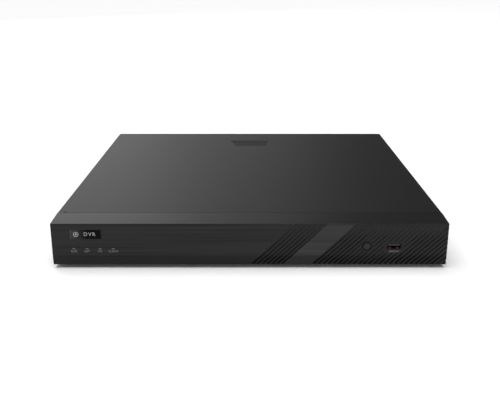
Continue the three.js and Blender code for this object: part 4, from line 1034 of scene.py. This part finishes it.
def buildMains():
    panel = panelY / mm
    inlet = refine("mains_inlet", finish["jack"], 0.4, segments=3)
    at = middleOf("mains_inlet")

    def onPin(c, n, a):  # the three pins inside the inlet
        near = any(abs(c.x - at.x / mm - x) < 1.1 and abs(c.z - at.z / mm - z) < 2.1 for x, z in rear["pins"])
        return near and panel - 13.9 < c.y < panel + 0.3

    paintWhere(inlet, finish["nickel"], onPin)
    refine("rocker_frame", finish["jack"], 0.3, segments=3)
    refine("rocker_lever", finish["lever"], 0.45, segments=3)
    at = middleOf("rocker_lever").x
    zero = lathe("zero", scaled([(1.25, 0), (1.6, 0), (1.6, 0.06), (1.25, 0.06)]), 28, finish["pale print"],
                 axis="Y", at=(at, (panel + 1.34) * mm, 28.7 * mm))
    one = blockMesh("one", (at - 0.2 * mm, -0.03 * mm, -1.6 * mm), (at + 0.2 * mm, 0.03 * mm, 1.6 * mm),
                    finish["pale print"])
    lean = Matrix.Rotation(math.radians(20), 4, "X")
    one.data.transform(Matrix.Translation((0, (panel - 1.2 + 3.95 + 0.02) * mm, 20.63 * mm)) @ lean)
    mount(joined("rocker_marks", [zero, one]), "rocker", "jack_plastic")
    print("rear jacks and ports built")


buildJacks()
buildMonitorAndNetwork()
buildDataAndDisplay()
buildTerminal()
buildMains()


# words on the rear panel
rearWords = [
    ("VIDEO IN 1-8", -73.0, 42.0, 2.6), ("VIDEO IN 9-16", -133.0, 42.0, 2.6), ("AUDIO", -35.0, 42.0, 2.6),
    ("MONITOR", -9.5, 27.0, 2.4), ("OUT", 18.0, 21.5, 2.4), ("DATA", 37.0, 30.5, 2.4), ("LAN", 56.0, 28.4, 2.4),
    ("ALARM", -174.0, 33.6, 2.4), ("POWER", 145.0, 40.0, 2.6),
]  # word, place in mm along X, height, size
earthMark = {"x": 170, "z": 8.4, "strokes": [(-0.2, 1.2, 0.2, 3.0), (-1.5, 0.9, 1.5, 1.2), (-1.0, 0.2, 1.0, 0.5),
                                             (-0.5, -0.5, 0.5, -0.2)]}


def buildRearWords():
    words = [lettering("word", text, size, (x * mm, panelY + 0.02 * mm, z * mm), finish["pale print"],
                       turn=(math.pi / 2, 0, math.pi), spacing=1.1) for text, x, z, size in rearWords]
    x, z = earthMark["x"], earthMark["z"]
    for x0, z0, x1, z1 in earthMark["strokes"]:
        words.append(blockMesh("stroke", ((x + x0) * mm, panelY - 0.02 * mm, (z + z0) * mm),
                               ((x + x1) * mm, panelY + 0.05 * mm, (z + z1) * mm), finish["pale print"]))
    mount(joined("rear_words", words), "case", "coated_steel")


buildRearWords()


fanLook = {"blades": 7, "hub": 9.6, "tip": 18.2, "rootPitch": 50, "tipPitch": 34, "chord": 9.5, "thick": 0.9,
           "bladeSet": 5.7}


def buildFan():
    refine("fan_frame", finish["jack"], 0.25, smooth=38)
    low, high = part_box("fan_rotor")
    at = (low + high) / 2
    bladeY = low.y / mm + fanLook["bladeSet"]
    hub = lathe("hub", scaled([(0, 0), (8.9, 0), (9.4, 0.3), (9.6, 0.9), (9.8, 11.0), (9.4, 11.4), (0, 11.4)]), 56,
                finish["jack"], axis="Y", at=(at.x, low.y, at.z))
    points, faces = [], []
    steps, rows = 8, 6
    for side in (0, 1):
        for i in range(rows + 1):
            share = i / rows
            radius = (fanLook["hub"] - 0.3) + share * (fanLook["tip"] - fanLook["hub"] + 0.3)
            pitch = math.radians(fanLook["rootPitch"] + share * (fanLook["tipPitch"] - fanLook["rootPitch"]))
            for j in range(steps + 1):
                along = (j / steps - 0.5) * fanLook["chord"]
                across = 2 * j / steps - 1  # -1 to 1 over the chord
                camber = 0.9 * (1 - across ** 2) + (side - 0.5) * fanLook["thick"] * (1 - 0.6 * abs(across))
                sweep = along * math.cos(pitch) - camber * math.sin(pitch)
                height = along * math.sin(pitch) + camber * math.cos(pitch)
                turn = sweep / radius
                points.append((radius * math.cos(turn), height * 0.72, radius * math.sin(turn)))
    layer = (rows + 1) * (steps + 1)
    for i in range(rows):
        for j in range(steps):
            a = i * (steps + 1) + j
            quad = (a, a + 1, a + steps + 2, a + steps + 1)
            faces += [quad, tuple(layer + k for k in reversed(quad))]
    rim = [j for j in range(steps + 1)] + [i * (steps + 1) + steps for i in range(1, rows + 1)]
    rim += [rows * (steps + 1) + j for j in range(steps - 1, -1,
                                                  -1)] + [i * (steps + 1) for i in range(rows - 1, 0, -1)]
    faces += [(rim[k], rim[(k + 1) % len(rim)], layer + rim[(k + 1) % len(rim)],
               layer + rim[k]) for k in range(len(rim))]
    blade = meshFrom("blade", scaled(points), faces, finish["jack"])
    clean(blade.data)
    blade.data.shade_smooth()
    blade.data.set_sharp_from_angle(angle=math.radians(40))
    turns = [(0, 2 * math.pi * i / fanLook["blades"], 0) for i in range(fanLook["blades"])]
    blades = spots("blades", [(at.x / mm, bladeY, at.z / mm)] * fanLook["blades"], blade, turns)
    mount(joined("fan_wheel_look", [hub, blades]), "fan_wheel", "jack_plastic", "fan_rotor")
    print("fan built")


buildFan()


def boardMaterial(name, mask, bare, copper):
    material, tree, shader, where = newMaterial(name)
    grains = placeGroup(tree, grainGroup, Vector=where, Grain=1200.0, Patch=30.0)
    flatten = wire(tree, "ShaderNodeMapping", Vector=where)
    flatten.inputs["Scale"].default_value = (1.0, 1.0, 0.02)
    tracks = wire(tree, "ShaderNodeTexBrick", {"offset": 0.37, "squash": 1.6, "squash_frequency": 3},
                  Vector=flatten.outputs[0], Scale=150.0, Mortar_Size=0.035, Brick_Width=1.3, Row_Height=0.16)
    vias = wire(tree, "ShaderNodeTexVoronoi", Vector=flatten.outputs[0], Scale=420.0)
    viaMask = ramp(tree, vias.outputs["Distance"], 0.14, 0.1)
    trackMask = ramp(tree, tracks.outputs["Fac"], 0.4, 0.6, 0.0, 0.55)
    base = blendColor(tree, grains.outputs["Patch"], tone(mask, 0.85), tone(mask, 1.15))
    base = blendColor(tree, trackMask.outputs[0], base, bare)
    base = blendColor(tree, viaMask.outputs[0], base, copper)
    tree.links.new(base, shader.inputs["Base Color"])
    rough = ramp(tree, grains.outputs["Grain"], 0.3, 0.7, 0.32, 0.44)
    tree.links.new(rough.outputs[0], shader.inputs["Roughness"])
    relief = wire(tree, "ShaderNodeBump", Height=tracks.outputs["Fac"], Strength=0.2, Distance=0.03 * mm)
    tree.links.new(relief.outputs[0], shader.inputs["Normal"])
    return material


finish["green board"] = boardMaterial("greenBoard", (0.012, 0.075, 0.028), (0.03, 0.15, 0.055), (0.45, 0.32, 0.12))
finish["brown board"] = boardMaterial("brownBoard", (0.24, 0.13, 0.045), (0.33, 0.2, 0.08), (0.5, 0.5, 0.48))

boards = {
    "deck": 11.62,  # top face of the recorder and supply boards
    "partsFrom": 11.8,
    "plugsBehind": -154.6,  # sockets on the two front boards lie behind this
    "main": [(-176, -130, 44, 122), (-126, -88, 46, 128), (-38, 6, 28, 128), (38, 62, 48, 94)],
    "supply": [(150, 180, 24, 44), (150, 160, 80, 96), (128, 146, 112, 118)],
}


def smallParts():
    chipBody = soften(blockMesh("body", (-2.6 * mm, -3.2 * mm, 0.1 * mm), (2.6 * mm, 3.2 * mm, 1.5 * mm),
                                finish["chip"]), 0.12)
    leg = blockMesh("leg", (-3.4 * mm, -0.2 * mm, 0), (3.4 * mm, 0.2 * mm, 0.35 * mm), finish["nickel"])
    legs = spots("legs", [(0, -2.4 + i * 1.2, 0) for i in range(5)], leg)
    chip = joined("chip", [chipBody, legs])
    ends = blockMesh("ends", (-0.85 * mm, -0.42 * mm, 0), (0.85 * mm, 0.42 * mm, 0.42 * mm), finish["nickel"])
    middle = blockMesh("middle", (-0.55 * mm, -0.44 * mm, 0), (0.55 * mm, 0.44 * mm, 0.5 * mm), finish["chip"])
    resistor = joined("resistor", [soften(ends, 0.05), soften(middle, 0.05)])
    can = lathe("can", scaled([(0, 0), (2.4, 0), (2.5, 0.2), (2.5, 0.9), (2.35, 1.1), (2.5, 1.3), (2.5, 5.2),
                               (2.3, 5.5), (0, 5.5)]), 28, finish["aluminium"])
    cap = lathe("cap", scaled([(0, 5.45), (1.9, 5.45), (1.9, 5.56), (0, 5.56)]), 28, finish["chip"])
    return chip, resistor, joined("can", [can, cap])


def strewOn(name, areas, height, template, apart, share, seed):
    points, faces = [], []
    for x0, x1, y0, y1 in areas:
        start = len(points)
        points += [(x0, y0, height), (x1, y0, height), (x1, y1, height), (x0, y1, height)]
        faces.append((start, start + 1, start + 2, start + 3))
    piece = meshFrom(name, scaled(points), faces)
    return grow(piece, strewTree,
                {"Template": template, "Material": template.data.materials[0], "Apart": apart * mm, "Share": share,
                 "Seed": seed})


def buildBoards():
    for node in ("main_board", "button_board", "led_board"):
        refine(node, finish["green board"], 0.05)
    for node in ("button_board", "led_board"):
        paintWhere(bpy.data.objects[node + "_look"], finish["white plug"],
                   lambda c, n, a: c.y > boards["plugsBehind"] and a > 2)
    supply = refine("supply_board", finish["brown board"], 0.05)
    paintWhere(supply, finish["white plug"], lambda c, n, a: c.z > boards["partsFrom"] and c.x < 148)
    paintWhere(supply, finish["ferrite"], lambda c, n, a: c.z > boards["partsFrom"] and c.x > 160)
    chip, resistor, can = smallParts()
    strewn = {  # template, least distance in mm, seed
        "main": (("chips", chip, 15, 4), ("resistors", resistor, 4.2, 9), ("cans", can, 24, 21)),
        "supply": (("resistors", resistor, 4.5, 3), ("cans", can, 9, 5)),
    }
    for board, kinds in strewn.items():
        sets = [strewOn(name, boards[board], boards["deck"], template, apart, 1.0, seed)
                for name, template, apart, seed in kinds]
        mount(joined(board + "_board_parts", sets), "case", "chip")
    for template in (chip, resistor, can):
        bpy.data.objects.remove(template)
    refine("disk_board", finish["green board"], 0.05)
    refine("processor", finish["chip"], 0.15)
    refine("heatsink", finish["aluminium"], 0.15)
    refine("supply_heatsink", finish["aluminium"], 0.2)
    refine("battery_holder", finish["jack"], 0.3)


def buildCells():
    at = middleOf("clock_battery")
    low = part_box("clock_battery")[0].z
    coin = lathe("coin_cell", scaled([(0, 0), (8.6, 0), (8.9, 0.2), (9.9, 0.35), (10, 0.7), (10, 2.9), (9.7, 3.2),
                                      (9.2, 3.1), (0, 3.1)]), 56, finish["nickel"], at=(at.x, at.y, low))
    mount(coin, "case", "nickel", "clock_battery")
    at = middleOf("supply_capacitor")
    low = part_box("supply_capacitor")[0].z
    can = lathe("can", scaled([(0, 0), (9.6, 0), (10, 0.5), (10, 1.6), (9.6, 2.1), (10, 2.6), (10, 27.2),
                               (9.5, 27.8), (8.6, 27.9), (8.4, 27.6), (0, 27.6)]), 64, finish["sleeve"],
                at=(at.x, at.y, low))
    paintWhere(can, finish["aluminium"], lambda c, n, a: n.z > 0.8 and c.z > low / mm + 27)
    mount(can, "case", "capacitor_sleeve", "supply_capacitor")
    winding = refine("supply_transformer", finish["ferrite"], 0.5, segments=3)
    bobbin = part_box("supply_transformer")[0].z / mm + 11.9
    center = middleOf("supply_transformer").x / mm
    paintWhere(winding, finish["tape"],
               lambda c, n, a: c.z < bobbin or (abs(n.x) > 0.9 and abs(c.x - center) > 12.9))
    print("boards built")


buildBoards()
buildCells()


def labelMaterial():  # plain pale label with ruled lines and no words
    material, tree, shader, where = newMaterial("diskLabel")
    grains = placeGroup(tree, grainGroup, Vector=where, Grain=900.0, Patch=18.0)
    axes = wire(tree, "ShaderNodeSeparateXYZ", Vector=where)
    rules = maths(tree, "PINGPONG", axes.outputs["Y"], 4.0 * mm)
    line = maths(tree, "LESS_THAN", rules.outputs[0], 0.35 * mm)
    stripes = wire(tree, "ShaderNodeTexNoise", {"noise_dimensions": "1D"}, W=axes.outputs["X"], Scale=1400.0,
                   Detail=0.0)
    bars = maths(tree, "GREATER_THAN", stripes.outputs[0], 0.5)
    zone = maths(tree, "LESS_THAN", axes.outputs["Y"], -118 * mm)
    barMask = maths(tree, "MULTIPLY", bars.outputs[0], zone.outputs[0])
    base = blendColor(tree, grains.outputs["Patch"], (0.62, 0.63, 0.63), (0.72, 0.72, 0.71))
    base = blendColor(tree, line.outputs[0], base, (0.3, 0.34, 0.38))
    base = blendColor(tree, barMask.outputs[0], base, (0.05, 0.05, 0.05))
    tree.links.new(base, shader.inputs["Base Color"])
    rough = ramp(tree, grains.outputs["Grain"], 0.3, 0.7, 0.42, 0.55)
    tree.links.new(rough.outputs[0], shader.inputs["Roughness"])
    return material


leadLooks = {
    "disk_data_lead": ("red lead", "jack"), "disk_power_lead": ("black lead", "white plug"),
    "supply_output_lead": ("black lead", "white plug"),
    "fan_lead": ("black lead", "white plug"), "mains_switch_lead": ("black lead", "red insert"),
    "mains_supply_lead": ("black lead", "white plug"),
    "button_board_lead": ("grey lead", "white plug"), "led_board_lead": ("grey lead", "white plug"),
}


def buildDisk():
    refine("disk_frame", finish["casting"], 0.5, segments=3)
    refine("disk_lid", finish["lid"], 0.25, segments=3)
    low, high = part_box("disk_lid")
    label = blockMesh("disk_label", (low.x + 10 * mm, low.y + 12 * mm, high.z - 0.05 * mm),
                      (high.x - 10 * mm, high.y - 40 * mm, high.z + 0.08 * mm), labelMaterial())
    mount(soften(label, 0.04), "case", "zinc_steel")
    inset = 5.0
    corners = [(low.x / mm + inset, low.y / mm + inset), (high.x / mm - inset, low.y / mm + inset),
               (low.x / mm + inset, high.y / mm - inset),
               (high.x / mm - inset, high.y / mm - inset), (low.x / mm + inset, middleOf("disk_lid").y / mm),
               (high.x / mm - inset, middleOf("disk_lid").y / mm)]
    mount(spots("lid_screws", [(x, y, high.z / mm - 0.1) for x, y in corners],
                panHead("head", 2.1, 0.7, finish["black screw"])), "case", "zinc_steel")
    for node, (sheath, plug) in leadLooks.items():
        piece = refine(node, finish[sheath], 0, smooth=60)
        paintWhere(piece, finish[plug], lambda c, n, a: max(abs(n.x), abs(n.y), abs(n.z)) > 0.9999 and a > 6)
    print("disk and leads built")


buildDisk()


# The cover's finger well, in mm: half width, reach from front to back, and depths.
well = {"half": 29, "front": 90, "back": 126, "frontRow": 100, "depth": 1.7, "rim": 2.7, "frontDepth": 0.3}


def buildCase():
    cover = copyOf("top_cover")
    top = coverHigh.z
    for v in cover.data.vertices:  # the finger well deepens towards the back
        if abs(v.co.x) < well["half"] * mm and well["front"] * mm < v.co.y < well["frontRow"] * mm:
            for depth in (well["depth"], well["rim"]):
                if abs(top - v.co.z - depth * mm) < 0.05 * mm:
                    v.co.z = top - (depth - well["depth"] + well["frontDepth"]) * mm
    cover.data.materials.clear()
    cover.data.materials.append(finish["coated steel"])
    soften(cover, 0.2, segments=2, angle=40, smooth=32)

    def inWell(c):
        return abs(c.x) < well["half"] + 4 and well["front"] - 1 < c.y < well["back"] + 1

    # painted shade on the finger well's floor
    paintWhere(cover, finish["well floor painted shade"], lambda c, n, a: inWell(c) and n.z > 0.9 and c.z < top / mm - 0.2)
    # painted highlight on the finger well's sloping sides
    paintWhere(cover, finish["well side painted highlight"],
               lambda c, n, a: inWell(c) and abs(n.x) > 0.3 and n.y > -0.9 and top / mm - 1.6 < c.z < top / mm + 0.01)
    mount(cover, "cover", "coated_steel", "top_cover")
    refine("base_tray", finish["tray steel"], 0, smooth=30)
    refine("power_switch_body", finish["jack"], 0.25)
    refine("power_switch_plunger", finish["lever"], 0.15)
    print("case sheets built")


buildCase()


stage = {
    "reach": 12,  # metres each way
    "floor": (0.93, 0.93, 0.93),
    "ambient": 0.04,
    "sun": 3.3,
    "sunAngle": 70,
    "cameraAhead": 546.3,
    "cameraHeight": 278.6,
    "tilt": 15.32,
    "lens": 44.68,
    "shift": -0.12,
    "sunTilt": (8, -6),
    "lights": [  # name, watts, size, place; each aims at the middle of the floor
        ("leftRear", 27, (2.6, 1.2), (-1.55, 2.2, 1.15)),
        ("rearMiddle", 2.8, (0.8, 1.2), (-0.05, 2.7, 1.15)),
        ("rightFront", 6, (0.7, 0.5), (0.85, -1.6, 0.5)),
    ],
}


def buildStage():
    material, tree, shader, where = newMaterial("paleFloor")
    grains = placeGroup(tree, grainGroup, Vector=where, Grain=40.0, Patch=1.5)
    base = blendColor(tree, grains.outputs["Patch"], tone(stage["floor"], 0.995), stage["floor"])
    tree.links.new(base, shader.inputs["Base Color"])
    shader.inputs["Roughness"].default_value = 0.9
    shader.inputs["Specular IOR Level"].default_value = 0.1
    far = stage["reach"]
    floor = meshFrom("floor", [(-far, -far, 0), (far, -far, 0), (far, far, 0), (-far, far, 0)], [(0, 1, 2, 3)],
                     material)
    world = bpy.data.worlds.new("studio")
    bpy.context.scene.world = world
    world.use_nodes = True
    sky = world.node_tree
    sky.nodes["Background"].inputs["Color"].default_value = (1, 1, 1, 1)
    sky.nodes["Background"].inputs["Strength"].default_value = stage["ambient"]
    sun = bpy.data.lights.new("ceiling", "SUN")
    sun.energy = stage["sun"]
    sun.angle = math.radians(stage["sunAngle"])
    ceiling = bpy.data.objects.new("ceiling", sun)
    bpy.context.scene.collection.objects.link(ceiling)
    ceiling.rotation_euler = (*[math.radians(turn) for turn in stage["sunTilt"]], 0)
    for name, power, size, place in stage["lights"]:
        data = bpy.data.lights.new(name, "AREA")
        data.energy = power
        data.shape = "RECTANGLE"
        data.size, data.size_y = size
        lamp = bpy.data.objects.new(name, data)
        bpy.context.scene.collection.objects.link(lamp)
        lamp.location = place
        lamp.rotation_euler = (-Vector(place)).to_track_quat("-Z", "Y").to_euler()
    data = bpy.data.cameras.new("camera")
    data.lens = stage["lens"]
    data.sensor_width = 36
    data.shift_y = stage["shift"]
    data.clip_start = 0.02
    camera = bpy.data.objects.new("camera", data)
    bpy.context.scene.collection.objects.link(camera)
    camera.location = (0.0003, faceY - stage["cameraAhead"] * mm, stage["cameraHeight"] * mm)
    camera.rotation_euler = (math.radians(90 - stage["tilt"]), 0, 0)
    bpy.context.scene.camera = camera
    bpy.context.scene.view_settings.view_transform = "Standard"


buildStage()
print("stage built")
